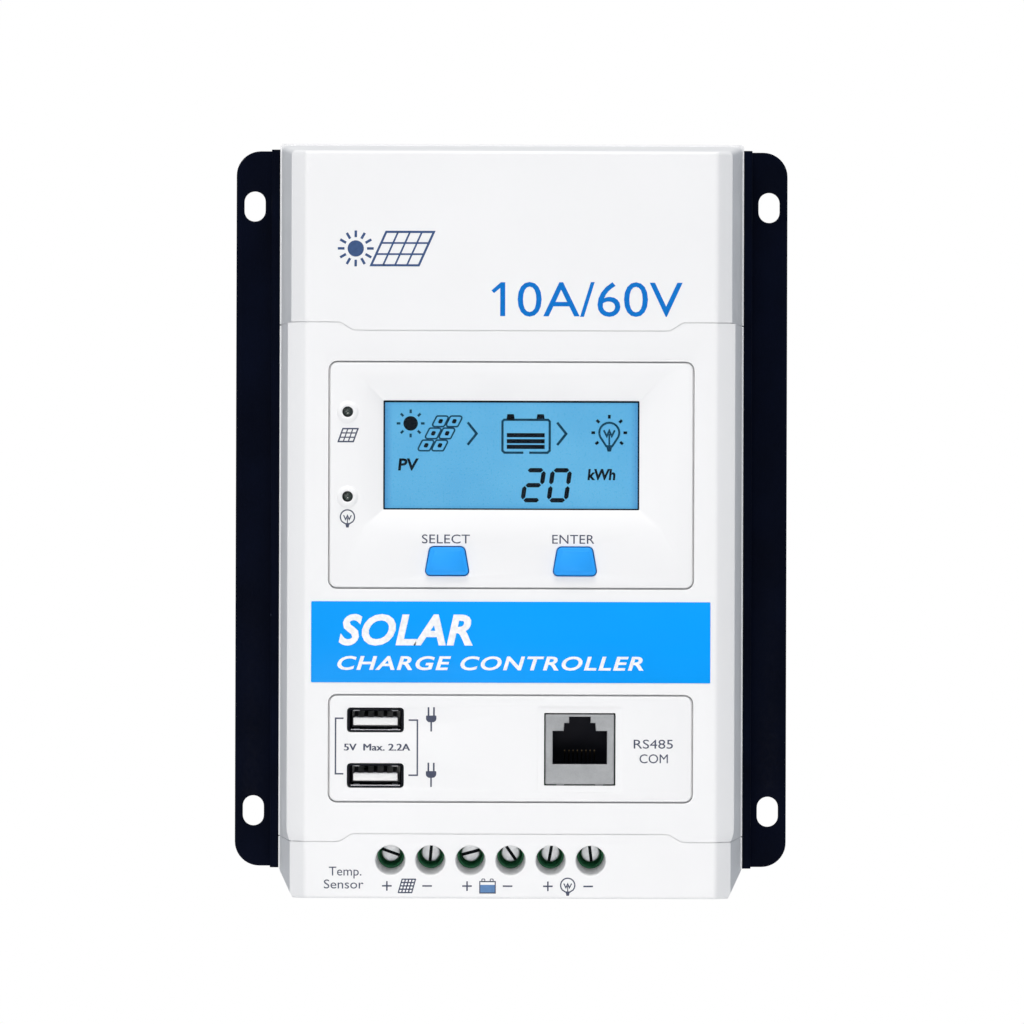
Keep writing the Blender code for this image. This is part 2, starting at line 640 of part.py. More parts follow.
def make_display_bezel(module):
    behind_panel = FRONT - PANEL
    bezel = piece("display_bezel", front_prism(rounded_rectangle(DISPLAY, MODULE_CORNER), DISPLAY_BACK, FRONT),
                  "case_white", module)
    cut(bezel, front_prism(rounded_rectangle(DISPLAY, MODULE_CORNER - SKIRT + 0.3, -SKIRT, 2),
                           DISPLAY_BACK - 1.0, behind_panel))
    x_low, x_high, z_low, z_high = RECESS
    join(bezel, box(x_low - 1.8, x_high + 1.8, WINDOW_FRAME_BACK, FRONT - 0.9, z_low - 1.8, z_high + 1.8))
    join(bezel, *[cylinder(LED_X, z, LED_COLLAR, FRONT - 0.15, FRONT + LED_COLLAR_RISE, 24, LED_COLLAR_TOP)
                  for z in LED_Z.values()])
    over = 0.4
    grow_x = (RECESS[1] - WINDOW[1]) / RECESS_DEPTH * over
    grow_low = (WINDOW[2] - RECESS[2]) / RECESS_DEPTH * over
    grow_high = (RECESS[3] - WINDOW[3]) / RECESS_DEPTH * over
    mouth = (RECESS[0] - grow_x, RECESS[1] + grow_x, RECESS[2] - grow_low, RECESS[3] + grow_high)
    cut(bezel, tapered_box(WINDOW, mouth, FRONT - RECESS_DEPTH, FRONT + over))
    leds = [cylinder(LED_X, z, LED_RADIUS + GAP, 43.0, FRONT + 1, 12) for z in LED_Z.values()]
    window = box(WINDOW[0], WINDOW[1], 42.0, 45.0, WINDOW[2], WINDOW[3])
    buttons = [front_prism(button_outline(x, GAP), 43.0, FRONT + 1) for x in BUTTON_X.values()]
    cut(bezel, window, *leds, *buttons)


def make_display_stack(module):
    x_low, x_high, z_low, z_high = WINDOW
    layers = (("lcd_window", "clear_window", 41.3, 42.5, 1.5), ("lcd_panel", "lcd_glass", 38.4, 41.0, 2.0),
              ("light_guide", "white_plastic", 35.7, 38.1, 2.5))
    for name, material, back, front, grow in layers:
        layer = box(x_low - grow, x_high + grow, back, front, z_low - grow, z_high + grow)
        piece(name, layer, material, module)
    x_low, x_high, z_low, z_high = DISPLAY
    piece("display_board", box(x_low + 2.2, x_high - 2.2, 33.9, 35.4, z_low + 2.2, z_high - 2.2),
          "board_green", module)
    cover = piece("display_rear_cover", box(x_low + 2.1, x_high - 2.1, 32.1, 33.6, z_low + 2.1, z_high - 2.1),
                  "case_white", module)
    header_low, header_high = HEADER_Z["display_header"]
    cut(cover, box(-10, 10, 31.0, 34.5, header_low - 0.4, header_high + 0.4))
    block, tongue = plug_mesh("display_header", 33.6, 31.8, 28.0)
    join(piece("display_plug", block, "black_plastic", module), tongue)


def make_indicator_leds(module):
    for name, z in LED_Z.items():
        lamp = piece(name, cylinder(LED_X, z, LED_RADIUS, 35.7, 45.4, 12), "led_lens", module)
        join(lamp, cylinder(LED_X, z, LED_RADIUS + 0.5, 35.7, 36.7, 12),
             cylinder(LED_X, z, LED_RADIUS * 0.97, 45.0, 46.1, 12, LED_RADIUS * 0.55))


def make_buttons(module):
    lip_back, lip_front = 42.9, FRONT - PANEL - GAP
    for name, x in BUTTON_X.items():
        on_axis = (x, BUTTON_FRONT, BUTTON_Z)
        cap = front_prism(button_outline(x, 0.0), lip_front - 0.5, BUTTON_FRONT)
        button = piece(name, cap, "button_blue", module, on_axis)
        join(button, front_prism(button_outline(x, BUTTON_LIP), lip_back, lip_front))
        join(button, cylinder(x, BUTTON_Z, STEM_RADIUS, 38.6, lip_back + 0.5, 12))
        body = box(x - 3, x + 3, 35.7, 37.8, BUTTON_Z - 3, BUTTON_Z + 3)
        switch = piece(name.replace("button", "switch"), body, "black_plastic", module)
        join(switch, cylinder(x, BUTTON_Z, 2.6, 37.0, 39.4, 16))
        cut(switch, cylinder(x, BUTTON_Z, STEM_RADIUS + 0.4, 37.4, 41.0, 12))


# ---------------------------------------------------------------- interface module

def port_outline(grow=0.0):
    """The stepped mouth of a modular jack: a wide opening, a shoulder and the latch slot above."""
    steps = [(10.1, -61.05), (23.1, -61.05), (23.1, -53.1), (20.45, -53.1), (20.45, -51.2), (19.2, -51.2),
             (19.2, -49.7), (14.1, -49.7), (14.1, -51.2), (12.9, -51.2), (12.9, -53.1), (10.1, -53.1)]
    middle_z = -57.0
    return [(x + math.copysign(grow, x - JACK_CENTRE), z + math.copysign(grow, z - middle_z))
            for x, z in steps]


def make_interface_panel(module):
    behind_panel = FRONT - PANEL
    panel = piece("interface_panel",
                  front_prism(rounded_rectangle(INTERFACE, MODULE_CORNER), INTERFACE_BACK, FRONT),
                  "case_white", module)
    cut(panel, front_prism(rounded_rectangle(INTERFACE, MODULE_CORNER - SKIRT + 0.3, -SKIRT, 2),
                           INTERFACE_BACK - 1.0, behind_panel))
    openings = [front_prism(rounded_rectangle(usb_rectangle(z), 0.9, GAP, 3), 43.0, FRONT + 1)
                for z in USB_Z.values()]
    openings.append(box(JACK[0] - GAP, JACK[1] + GAP, 43.0, FRONT + 1, JACK[2] - GAP, JACK[3] + GAP))
    cut(panel, *openings)
    cut(panel, box(JACK_FRAME[0], JACK_FRAME[1], FRONT - 0.35, FRONT + 1, JACK_FRAME[2], JACK_FRAME[3]))


def usb_rectangle(z):
    return (USB_X - USB_WIDTH / 2, USB_X + USB_WIDTH / 2, z - USB_HEIGHT / 2, z + USB_HEIGHT / 2)


def make_usb_sockets(module):
    for place, z in USB_Z.items():
        shell = piece(f"usb_shell_{place}",
                      front_prism(rounded_rectangle(usb_rectangle(z), 0.8, 0.0, 3), 32.0, PORT_FRONT),
                      "plated_steel", module)
        cut(shell, front_prism(rounded_rectangle(usb_rectangle(z), 0.5, -SHEET, 2), 32.0 + SHEET, 50.0))
        base = box(USB_X - 5.8, USB_X + 5.8, 32.8, 35.3, z - 1.95, z + 1.95)
        tongue = box(USB_X - 5.35, USB_X + 5.35, 34.5, 45.3, z - 1.3, z + 0.6)
        join(piece(f"usb_tongue_{place}", base, "white_plastic", module), tongue)


def make_network_jack(module):
    x_low, x_high, z_low, z_high = JACK
    shield = piece("jack_shield", box(x_low, x_high, 29.3, PORT_FRONT, z_low, z_high), "plated_steel", module)
    cut(shield, box(x_low + 0.5, x_high - 0.5, 28.0, PORT_FRONT - 0.5, z_low + 0.5, z_high - 0.6))
    cut(shield, front_prism(port_outline(), 44.0, 50.0))
    insert = piece("jack_insert", box(x_low + 0.8, x_high - 0.8, 29.6, PORT_FRONT - 0.8,
                                      z_low + 0.8, z_high - 0.9), "black_plastic", module)
    cut(insert, front_prism(port_outline(), 33.0, 50.0))


def make_interface_board(module):
    x_low, x_high, z_low, z_high = INTERFACE
    piece("interface_board", box(x_low + 2.2, x_high - 2.2, 27.4, 29.0, z_low + 2.0, z_high - 2.0),
          "board_green", module)
    block, tongue = plug_mesh("interface_header", 27.1, 24.9, 21.5)
    join(piece("interface_plug", block, "black_plastic", module), tongue)


# ---------------------------------------------------------------- terminals

def make_terminal_blocks():
    for number in range(3):
        left, right = POLES[2 * number], POLES[2 * number + 1]
        centre = (left + right) / 2
        body = box(centre - BLOCK["half_width"], centre + BLOCK["half_width"], ON_BOARD, BLOCK["front"],
                   BLOCK["low"], BLOCK["high"])
        block = piece(f"terminal_block_{number + 1}", body, "terminal_green")
        chambers = [box(x - CHAMBER["half_width"], x + CHAMBER["half_width"], CHAMBER["back"],
                        CHAMBER["front"], BLOCK["low"] - 1, CHAMBER["high"]) for x in (left, right)]
        necks = [cylinder(x, TERMINAL_Z, SCREW_HOLE, 30.0, BLOCK["front"] + 1, 16) for x in (left, right)]
        wells = [cylinder(x, TERMINAL_Z, TERMINAL_HEAD + GAP, TERMINAL_HEAD_BACK - GAP, BLOCK["front"] + 0.4,
                          20, WELL_MOUTH, WELL_DROP) for x in (left, right)]
        cut(block, *chambers)
        cut(block, *necks)
        cut(block, *wells)


def make_terminal_screws():
    for number, (x, angle) in enumerate(zip(POLES, SLOT_ANGLES), 1):
        on_axis = (x, TERMINAL_HEAD_FRONT, TERMINAL_Z)
        head = cylinder(x, TERMINAL_Z, TERMINAL_HEAD, TERMINAL_HEAD_BACK, TERMINAL_HEAD_FRONT, 20)
        screw = piece(f"terminal_screw_{number}", head, "plated_steel", None, on_axis)
        join(screw, cylinder(x, TERMINAL_Z, SCREW_RADIUS, TERMINAL_TIP, TERMINAL_HEAD_BACK + 0.5, 12))
        driver_slot = box(-3, 3, TERMINAL_HEAD_FRONT - 0.9, TERMINAL_HEAD_FRONT + 1, -0.3, 0.3)
        driver_slot.transform(Matrix.Translation(Vector((x, 0, TERMINAL_Z)) * MM)
                              @ Matrix.Rotation(math.radians(-angle), 4, "Y"))
        cut(screw, driver_slot)


def make_clamp_cages():
    for number, x in enumerate(POLES, 1):
        outer = box(x - CAGE["half_width"], x + CAGE["half_width"], CAGE["back"], CAGE["front"],
                    TERMINAL_Z - CAGE["half_length"], TERMINAL_Z + CAGE["half_length"])
        cage = piece(f"clamp_cage_{number}", outer, "plated_steel", None, (x, CAGE["front"], TERMINAL_Z))
        cut(cage, box(x - CAGE["half_width"] + CAGE["side"], x + CAGE["half_width"] - CAGE["side"],
                      CAGE["back"] + CAGE["side"], CAGE["front"] - CAGE["top"],
                      TERMINAL_Z - 4, TERMINAL_Z + 4))
        cut(cage, cylinder(x, TERMINAL_Z, SCREW_HOLE, CAGE["front"] - 2.5, CAGE["front"] + 1, 12))


# ---------------------------------------------------------------- assembly

def main():
    make_heat_sink()
    make_upper_cover()
    make_front_fascia()
    make_terminal_cover()
    make_banner_label()
    make_case_screws()
    make_main_board()
    make_power_parts()
    make_header("display_header", 31.2)
    make_header("interface_header", 24.2)
    make_sensor_port()

    display = pivot("display_module_slide")
    make_display_bezel(display)
    make_display_stack(display)
    make_indicator_leds(display)
    make_buttons(display)

    interface = pivot("interface_module_slide")
    make_interface_panel(interface)
    make_usb_sockets(interface)
    make_network_jack(interface)
    make_interface_board(interface)

    make_terminal_blocks()
    make_terminal_screws()
    make_clamp_cages()


main()
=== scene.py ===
"""Looks of a wall-mounted solar charge controller: case, display, ports, terminals and printed graphics.

The front faces -Y and +Z is up. Sizes are written in millimetres and become metres when a mesh is made.
"Depth" is the distance in front of the wall, which is -y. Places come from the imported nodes' boxes.
"""

import math
from collections import namedtuple

import bmesh
import bpy
from mathutils import Matrix, Vector


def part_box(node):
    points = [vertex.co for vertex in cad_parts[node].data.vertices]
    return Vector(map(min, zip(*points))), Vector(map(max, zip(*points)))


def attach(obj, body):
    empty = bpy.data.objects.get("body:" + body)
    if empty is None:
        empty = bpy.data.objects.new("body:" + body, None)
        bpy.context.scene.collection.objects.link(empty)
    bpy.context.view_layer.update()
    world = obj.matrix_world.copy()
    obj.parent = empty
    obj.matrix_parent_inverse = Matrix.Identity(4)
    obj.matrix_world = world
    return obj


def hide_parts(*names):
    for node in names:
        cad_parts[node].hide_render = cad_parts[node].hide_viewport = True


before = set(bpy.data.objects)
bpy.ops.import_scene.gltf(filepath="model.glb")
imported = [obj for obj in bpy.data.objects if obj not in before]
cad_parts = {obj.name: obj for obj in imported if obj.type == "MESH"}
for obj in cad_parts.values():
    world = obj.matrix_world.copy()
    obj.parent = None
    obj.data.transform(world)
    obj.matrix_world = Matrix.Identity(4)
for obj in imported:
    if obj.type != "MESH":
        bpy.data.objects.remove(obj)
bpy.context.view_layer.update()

MM = 0.001

Extent = namedtuple("Extent", "x_low x_high back front z_low z_high")


def extent(node):
    """A CAD node's box in millimetres, as depths in front of the wall."""
    low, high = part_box(node)
    return Extent(low.x / MM, high.x / MM, -high.y / MM, -low.y / MM, low.z / MM, high.z / MM)


def rectangle(box, grow=0.0):
    """The (low x, high x, low z, high z) of an extent, moved outwards by grow."""
    return box.x_low - grow, box.x_high + grow, box.z_low - grow, box.z_high + grow


def middle(box):
    """The (x, z) of an extent's middle."""
    return (box.x_low + box.x_high) / 2, (box.z_low + box.z_high) / 2


SINK = extent("heat_sink")
UPPER = extent("upper_cover")
FASCIA = extent("front_fascia")
LOWER = extent("terminal_cover")
BANNER = extent("banner_label")
DISPLAY = extent("display_bezel")
INTERFACE = extent("interface_panel")
LCD = extent("lcd_panel")
JACK = extent("jack_shield")

# Heat sink
FLANGE_FRONT = 2.5
FLANGE_CORNER = 6.0
SLOT_X, SLOT_Z = 63.0, 74.0
SLOT_SIZE = (5.2, 7.4)
CASE_SCREW_X, CASE_SCREW_Z = 52.0, 78.0
SCREW_HOLE = 1.75

# Case
FRONT = FASCIA.front
CASE_BACK = FASCIA.back
BACK_HALF_WIDTH = FASCIA.x_high
COVER_SHOULDER = 52.9
FASCIA_SHOULDER = 53.7
SHOULDER_DEPTH = 43.4
FRONT_HALF_WIDTH = 49.2
WALL = 2.0
RIM = 0.35
RIM_EDGE, RIM_END = CASE_BACK + 0.9, CASE_BACK + 1.0
TOP_FRONT = 85.75
TOP_ROUND, BOTTOM_ROUND = 0.8, 0.7
SEAM_GAP = 0.26
SEAM_DEPTH = 0.32
SEAM_BEND = 2.5
UPPER_SEAM, UPPER_TONGUE = 44.7, 42.7
LOWER_SEAM, LOWER_TONGUE = -79.7, -77.8
TONGUE_HALF_WIDTH = 38.0
TONGUE_SLOPE = 3.0
CORNER_CUT_X, CORNER_CUT_Z, CORNER_CUT_LEAN = 2.9, 5.8, 1.4
REACH = 62.0

# Modules
MODULE_CORNER = 1.7
MODULE_CLEARANCE = 0.4
MODULE_WALL = 1.6
PANEL = 1.8
LEDGE = 0.32
LEDGE_DEPTH = 1.6
DISPLAY_FLOOR = 31.5
INTERFACE_FLOOR = 24.5
WINDOW = (-30.7, 30.7, -0.2, 26.0)
RECESS = (-35.7, 35.7, -4.4, 31.1)
RECESS_DEPTH = 2.0
BUTTON_HEIGHT, BUTTON_BOTTOM, BUTTON_TOP, BUTTON_CORNER = 6.7, 10.6, 8.05, 1.0
LED_HOLE = 1.3
LAMPS = ("led_pv", "led_load")
BUTTONS = ("select_button", "enter_button")
SHEET = 0.4

# Terminals
DRIVER_HOLE_Z = -84.2
DRIVER_MOUTH = 3.73
DRIVER_DEEP = 3.2
DRIVER_LEAN = 0.082
DRIVER_TUBE_END = 35.4
WIRE_ENTRY = 7.2
ENTRY_BACK = 21.1
POLES = [sum(extent(f"terminal_screw_{number}")[:2]) / 2 for number in range(1, 7)]
SLOT_ANGLES = (-20, 85, 15, -55, 80, -83)

# Printing
INK_BELOW = 0.03
INK_ABOVE = 0.03
CAPITAL = 2.1


# ---------------------------------------------------------------- meshes

def at(x, depth, z):
    """A point in metres from its place in millimetres."""
    return Vector((x, -depth, z)) * MM


def placed(name, data):
    """A new object of the scene that holds the data."""
    obj = bpy.data.objects.new(name, data)
    bpy.context.scene.collection.objects.link(obj)
    return obj


def mesh_of(bm):
    mesh = bpy.data.meshes.new("shape")
    bm.to_mesh(mesh)
    bm.free()
    return mesh


def taken_from(*meshes):
    """An editable mesh made of the given ones, which are removed."""
    bm = bmesh.new()
    for mesh in meshes:
        bm.from_mesh(mesh)
        bpy.data.meshes.remove(mesh)
    return bm


def merged(meshes):
    """Several closed meshes as one, each still its own shell."""
    return mesh_of(taken_from(*meshes))


def lofted(rings, closed=False):
    """A closed mesh through rings of equally many points. Its ends are filled, or joined to each other."""
    bm = bmesh.new()
    loops = [[bm.verts.new(point) for point in ring] for ring in rings]
    for one, two in zip(loops, loops[1:] + loops[:1] if closed else loops[1:]):
        for index, vert in enumerate(one):
            following = (index + 1) % len(one)
            bm.faces.new((vert, one[following], two[following], two[index]))
    if not closed:
        bm.faces.new(loops[0])
        bm.faces.new(loops[-1])
    bmesh.ops.recalc_face_normals(bm, faces=bm.faces)
    return mesh_of(bm)


def stacked(layers):
    """A closed mesh through (depth, outline) layers."""
    return lofted([[at(x, depth, z) for x, z in outline] for depth, outline in layers])


def swept(outline, profile):
    """A closed mesh that follows outline(grow) at each (depth, grow) of the profile."""
    return stacked([(depth, outline(grow)) for depth, grow in profile])


def rounded_block(sides, radius, profile, steps=5):
    """A rounded rectangle swept along the (depth, grow) pairs of the profile."""
    return swept(lambda grow: rounded_rectangle(sides, radius, grow, steps), profile)


def filled_box(box, radius, edge, steps=3, edge_steps=3):
    """A solid that fills an extent, with rounded corners and a rounded front edge."""
    profile = [(box.back, 0.0), *edge_rounding(box.front, edge, edge_steps)]
    return rounded_block(rectangle(box), radius, profile, steps)


def prism(outline, back, front):
    return stacked([(back, outline), (front, outline)])


def block(x_low, x_high, back, front, z_low, z_high):
    return prism(box_outline(x_low, x_high, z_low, z_high), back, front)


def turned(x, z, profile, segments=40, lean=0.0):
    """A closed round solid from (depth, radius) pairs. Its axis passes (x, z) at the case's front, and
    climbs by lean for each millimetre further back."""
    return stacked([(depth, disc(x, z + lean * (FRONT - depth), radius, segments))
                    for depth, radius in profile])


def turned_ring(x, z, profile, segments=40):
    """A closed ring about a front-to-back axis, from a closed loop of (depth, radius) pairs."""
    angles = [math.tau * index / segments for index in range(segments)]
    return lofted([[at(x + radius * math.cos(angle), depth, z + radius * math.sin(angle))
                    for depth, radius in profile] for angle in angles], closed=True)


def strip(x, path, half_width, below, above):
    """A flat spring that follows a path of (depth, z) pairs."""
    return lofted([[at(x - half_width, depth, z - below), at(x + half_width, depth, z - below),
                    at(x + half_width, depth, z + above), at(x - half_width, depth, z + above)]
                   for depth, z in path])


def carved(mesh, operation, tools):
    """The mesh after a boolean with the tools."""
    blank, tool = placed("blank", mesh), placed("tool", merged(tools))
    modifier = blank.modifiers.new("carve", "BOOLEAN")
    modifier.operation = operation
    modifier.solver = "EXACT"
    modifier.object = tool
    graph = bpy.context.evaluated_depsgraph_get()
    result = bpy.data.meshes.new_from_object(blank.evaluated_get(graph))
    for obj in (blank, tool):
        used = obj.data
        bpy.data.objects.remove(obj)
        bpy.data.meshes.remove(used)
    return result


def cut(mesh, *tools):
    return carved(mesh, "DIFFERENCE", tools)


def joined(mesh, *tools):
    return carved(mesh, "UNION", tools)


def common(mesh, *tools):
    """What the mesh shares with the tools."""
    return carved(mesh, "INTERSECT", tools)


# ---------------------------------------------------------------- outlines

def box_outline(x_low, x_high, z_low, z_high):
    return [(x_low, z_low), (x_high, z_low), (x_high, z_high), (x_low, z_high)]


def disc(x, z, radius, segments=24):
    angles = [math.tau * index / segments for index in range(segments)]
    return [(x + radius * math.cos(angle), z + radius * math.sin(angle)) for angle in angles]


def rounded(corners, radii, steps=5):
    """A closed outline through the corners, each rounded by its own radius or by the same one."""
    if not isinstance(radii, (list, tuple)):
        radii = [radii] * len(corners)
    outline = []
    for index, radius in enumerate(radii):
        here = Vector(corners[index])
        before = (Vector(corners[index - 1]) - here).normalized()
        after = (Vector(corners[(index + 1) % len(corners)]) - here).normalized()
        half = before.angle(after) / 2
        turn = math.pi - 2 * half
        centre = here + (before + after).normalized() * radius / math.sin(half)
        start = here + before * radius / math.tan(half) - centre
        end = here + after * radius / math.tan(half) - centre
        for step in range(steps + 1 if radius else 1):
            share = step / steps
            arm = start * math.sin((1 - share) * turn) + end * math.sin(share * turn)
            outline.append(tuple(centre + arm / math.sin(turn)))
    return outline


def rounded_corners(corners, steps=5):
    """A closed outline through (x, z, radius) corners."""
    return rounded([corner[:2] for corner in corners], [corner[2] for corner in corners], steps)


def rounded_rectangle(sides, radius, grow=0.0, steps=5):
    x_low, x_high, z_low, z_high = sides
    x_low, x_high, z_low, z_high = x_low - grow, x_high + grow, z_low - grow, z_high + grow
    return rounded([(x_high, z_high), (x_low, z_high), (x_low, z_low), (x_high, z_low)],
                   max(radius + grow, 0.05), steps)


def quarter(radius, steps=4):
    """A quarter of a circle, as how far it has come forwards and how far it has gone sideways."""
    angles = [math.radians(90 * step / steps) for step in range(steps + 1)]
    return [(radius * math.sin(a), radius * (1 - math.cos(a))) for a in angles]


def edge_rounding(front, radius, steps=4):
    """Profile steps that round a solid's front edge."""
    return [(front - radius + ahead, -aside) for ahead, aside in quarter(radius, steps)]


def mouth_rounding(front, radius, steps=4):
    """Profile steps that round the mouth of a hole, and carry the cutter on past the front."""
    return [*[(front - radius + ahead, aside) for ahead, aside in quarter(radius, steps)],
            (front + 1.0, radius)]


def trapezoid(x, z, grow):
    """A button's outline, wider at the bottom."""
    half_bottom, half_top = BUTTON_BOTTOM / 2 + grow, BUTTON_TOP / 2 + grow
    low, high = z - BUTTON_HEIGHT / 2 - grow, z + BUTTON_HEIGHT / 2 + grow
    return rounded([(x + half_top, high), (x - half_top, high), (x - half_bottom, low),
                    (x + half_bottom, low)], max(BUTTON_CORNER + grow, 0.05))


def port_outline(grow):
    """The stepped mouth of a modular jack: a wide opening, a shoulder and the latch slot above."""
    centre = middle(JACK)[0]
    steps = [(6.5, -61.05), (6.5, -53.1), (3.85, -53.1), (3.7, -51.2), (2.55, -51.2), (2.55, -49.7)]
    between_ends = -57.0
    right = [(centre + x + grow, z + math.copysign(grow, z - between_ends)) for x, z in steps]
    return right + [(2 * centre - x, z) for x, z in reversed(right)]


# ---------------------------------------------------------------- procedural materials

class Surface:
    """A procedural material in the object's own coordinates, built up node by node."""

    def __init__(self, name, roughness, metallic=0.0, **settings):
        self.material = bpy.data.materials.new(name)
        self.material.use_nodes = True
        self.tree = self.material.node_tree
        self.shader = self.tree.nodes["Principled BSDF"]
        self.shader.inputs["Roughness"].default_value = roughness
        self.shader.inputs["Metallic"].default_value = metallic
        for socket, value in settings.items():
            self.shader.inputs[socket.replace("_", " ")].default_value = value
        self.place = self.tree.nodes.new("ShaderNodeTexCoord").outputs["Object"]
        self.normal = None

    def add(self, kind, inputs, **settings):
        node = self.tree.nodes.new(kind)
        for key, value in settings.items():
            setattr(node, key, value)
        for key, value in inputs.items():
            if isinstance(value, bpy.types.NodeSocket):
                self.tree.links.new(value, node.inputs[key])
            else:
                node.inputs[key].default_value = value
        return node

    def stretched(self, scale):
        return self.add("ShaderNodeMapping", {"Vector": self.place, "Scale": scale}).outputs[0]

    def noise(self, scale, detail=2.0, roughness=0.5, place=None):
        inputs = {"Vector": place or self.place, "Scale": scale, "Detail": detail, "Roughness": roughness}
        return self.add("ShaderNodeTexNoise", inputs).outputs["Fac"]

    def spread(self, factor, low=0.0, high=1.0, from_low=0.3, from_high=0.7):
        inputs = {"Value": factor, "From Min": from_low, "From Max": from_high, "To Min": low, "To Max": high}
        return self.add("ShaderNodeMapRange", inputs).outputs["Result"]

    def math(self, operation, *values):
        return self.add("ShaderNodeMath", dict(enumerate(values)), operation=operation).outputs[0]

    def mixed(self, factor, one, two):
        return self.add("ShaderNodeMix", {0: factor, 6: one, 7: two}, data_type="RGBA").outputs[2]

    def mottled(self, factor, colour, low, high):
        """A colour that wanders between two shades of itself."""
        return self.mixed(self.spread(factor), shade(colour, low), shade(colour, high))

    def colour(self, source):
        self.tree.links.new(source, self.shader.inputs["Base Color"])

    def roughness(self, source):
        self.tree.links.new(source, self.shader.inputs["Roughness"])

    def bump(self, height, strength, distance):
        inputs = {"Height": height, "Strength": strength, "Distance": distance * MM}
        if self.normal:
            inputs["Normal"] = self.normal
        self.normal = self.add("ShaderNodeBump", inputs).outputs[0]
        self.tree.links.new(self.normal, self.shader.inputs["Normal"])

    def worn_edges(self, radius):
        """Near 1 along outside edges and 0 on flat ground."""
        soft = self.add("ShaderNodeBevel", {"Radius": radius * MM}, samples=4).outputs[0]
        true = self.add("ShaderNodeNewGeometry", {}).outputs["Normal"]
        facing = self.add("ShaderNodeVectorMath", {0: soft, 1: true}, operation="DOT_PRODUCT")
        return self.spread(facing.outputs["Value"], 1.0, 0.0, 0.75, 0.99)


def shade(colour, factor):
    return (*[min(channel * factor, 1.0) for channel in colour], 1.0)


def moulded(name, colour, roughness, grain=3200.0, depth=0.012, variation=0.03, gloss=0.5):
    """Injection-moulded plastic: spark-eroded grain, slow tone changes and handling marks in the gloss."""
    surface = Surface(name, roughness, IOR=1.46, Specular_IOR_Level=gloss)
    surface.colour(surface.mottled(surface.noise(28.0, 3.0), colour, 1 - variation, 1 + variation))
    smears = surface.noise(140.0, 4.0, 0.6)
    surface.roughness(surface.spread(smears, roughness - 0.06, roughness + 0.08))
    surface.bump(surface.noise(grain, 2.0), 0.5, depth)
    surface.bump(surface.noise(55.0, 1.0), 0.25, 0.03)
    return surface.material


def powder_coat(name, colour):
    """Fine-textured powder paint on aluminium: orange peel, sparse pale specks and thinner paint on edges."""
    surface = Surface(name, 0.55, IOR=1.35, Specular_IOR_Level=0.05)
    tone = surface.mottled(surface.noise(60.0, 4.0), colour, 0.75, 1.3)
    cells = surface.add("ShaderNodeTexVoronoi", {"Vector": surface.place, "Scale": 700.0})
    near = surface.spread(cells.outputs["Distance"], 1.0, 0.0, 0.12, 0.22)
    chosen = surface.math("GREATER_THAN", cells.outputs["Color"], 0.9)
    specks = surface.math("MULTIPLY", near, chosen)
    speckled = surface.mixed(specks, tone, (0.07, 0.08, 0.12, 1.0))
    wear = surface.spread(surface.noise(300.0, 3.0), 0.1, 0.5)
    edges = surface.math("MULTIPLY", surface.worn_edges(0.5), wear)
    surface.colour(surface.mixed(edges, speckled, (0.03, 0.035, 0.07, 1.0)))
    surface.roughness(surface.spread(surface.noise(900.0, 2.0), 0.42, 0.58))
    surface.bump(surface.noise(1500.0, 2.0), 0.6, 0.03)
    surface.bump(specks, 0.4, 0.02)
    return surface.material


def metal(name, colour, roughness, stretch=(1.0, 1.0, 1.0), scratches=1.0, metallic=1.0):
    """Plated sheet: fine drawn lines along one direction, faint tarnish and brighter rubbed edges."""
    surface = Surface(name, roughness, metallic)
    tarnished = surface.mottled(surface.noise(180.0, 4.0, 0.6), colour, 0.88, 1.08)
    edges = surface.math("MULTIPLY", surface.worn_edges(0.15), 0.6)
    surface.colour(surface.mixed(edges, tarnished, shade(colour, 1.5)))
    lines = surface.noise(2500.0, 2.0, 0.5, surface.stretched(stretch))
    surface.roughness(surface.spread(lines, roughness - 0.08, roughness + 0.12))
    surface.bump(lines, 0.3 * scratches, 0.006)
    return surface.material


def turned_metal(name, colour):
    """A screw: fine rings from the lathe on the face of its head, and painted shade, near black, in the slot
    and behind the face.
    """
    surface = Surface(name, 0.3, metallic=0.85)
    rings = surface.add("ShaderNodeTexWave", {"Vector": surface.place, "Scale": 900.0, "Distortion": 1.5,
                                              "Detail": 2.0, "Detail Scale": 2.0},
                        wave_type="RINGS", rings_direction="Y").outputs["Fac"]
    plating = surface.mottled(surface.noise(600.0, 3.0), colour, 0.85, 1.1)
    # Painted shade: the colour turns near black from a fraction of a millimetre behind the head's face, in
    # the slot and beyond.
    behind = surface.add("ShaderNodeSeparateXYZ", {0: surface.place}).outputs["Y"]
    painted_shade = surface.spread(behind, 0.0, 1.0, 0.08 * MM, 0.4 * MM)
    surface.colour(surface.mixed(painted_shade, plating, (0.006, 0.008, 0.010, 1.0)))
    surface.roughness(surface.spread(rings, 0.42, 0.6, 0.0, 1.0))
    surface.bump(rings, 0.25, 0.01)
    return surface.material


def printed(name, colour, roughness=0.5):
    """Screen-printed ink: slight mottling, and the mesh of the screen in its surface."""
    surface = Surface(name, roughness, IOR=1.45, Specular_IOR_Level=0.12)
    mottle = surface.noise(900.0, 3.0)
    surface.colour(surface.mottled(mottle, colour, 0.92, 1.1))
    weave = surface.add("ShaderNodeTexWave", {"Vector": surface.place, "Scale": 1400.0},
                        bands_direction="DIAGONAL").outputs["Fac"]
    surface.roughness(surface.spread(mottle, roughness - 0.05, roughness + 0.08))
    surface.bump(weave, 0.15, 0.004)
    return surface.material


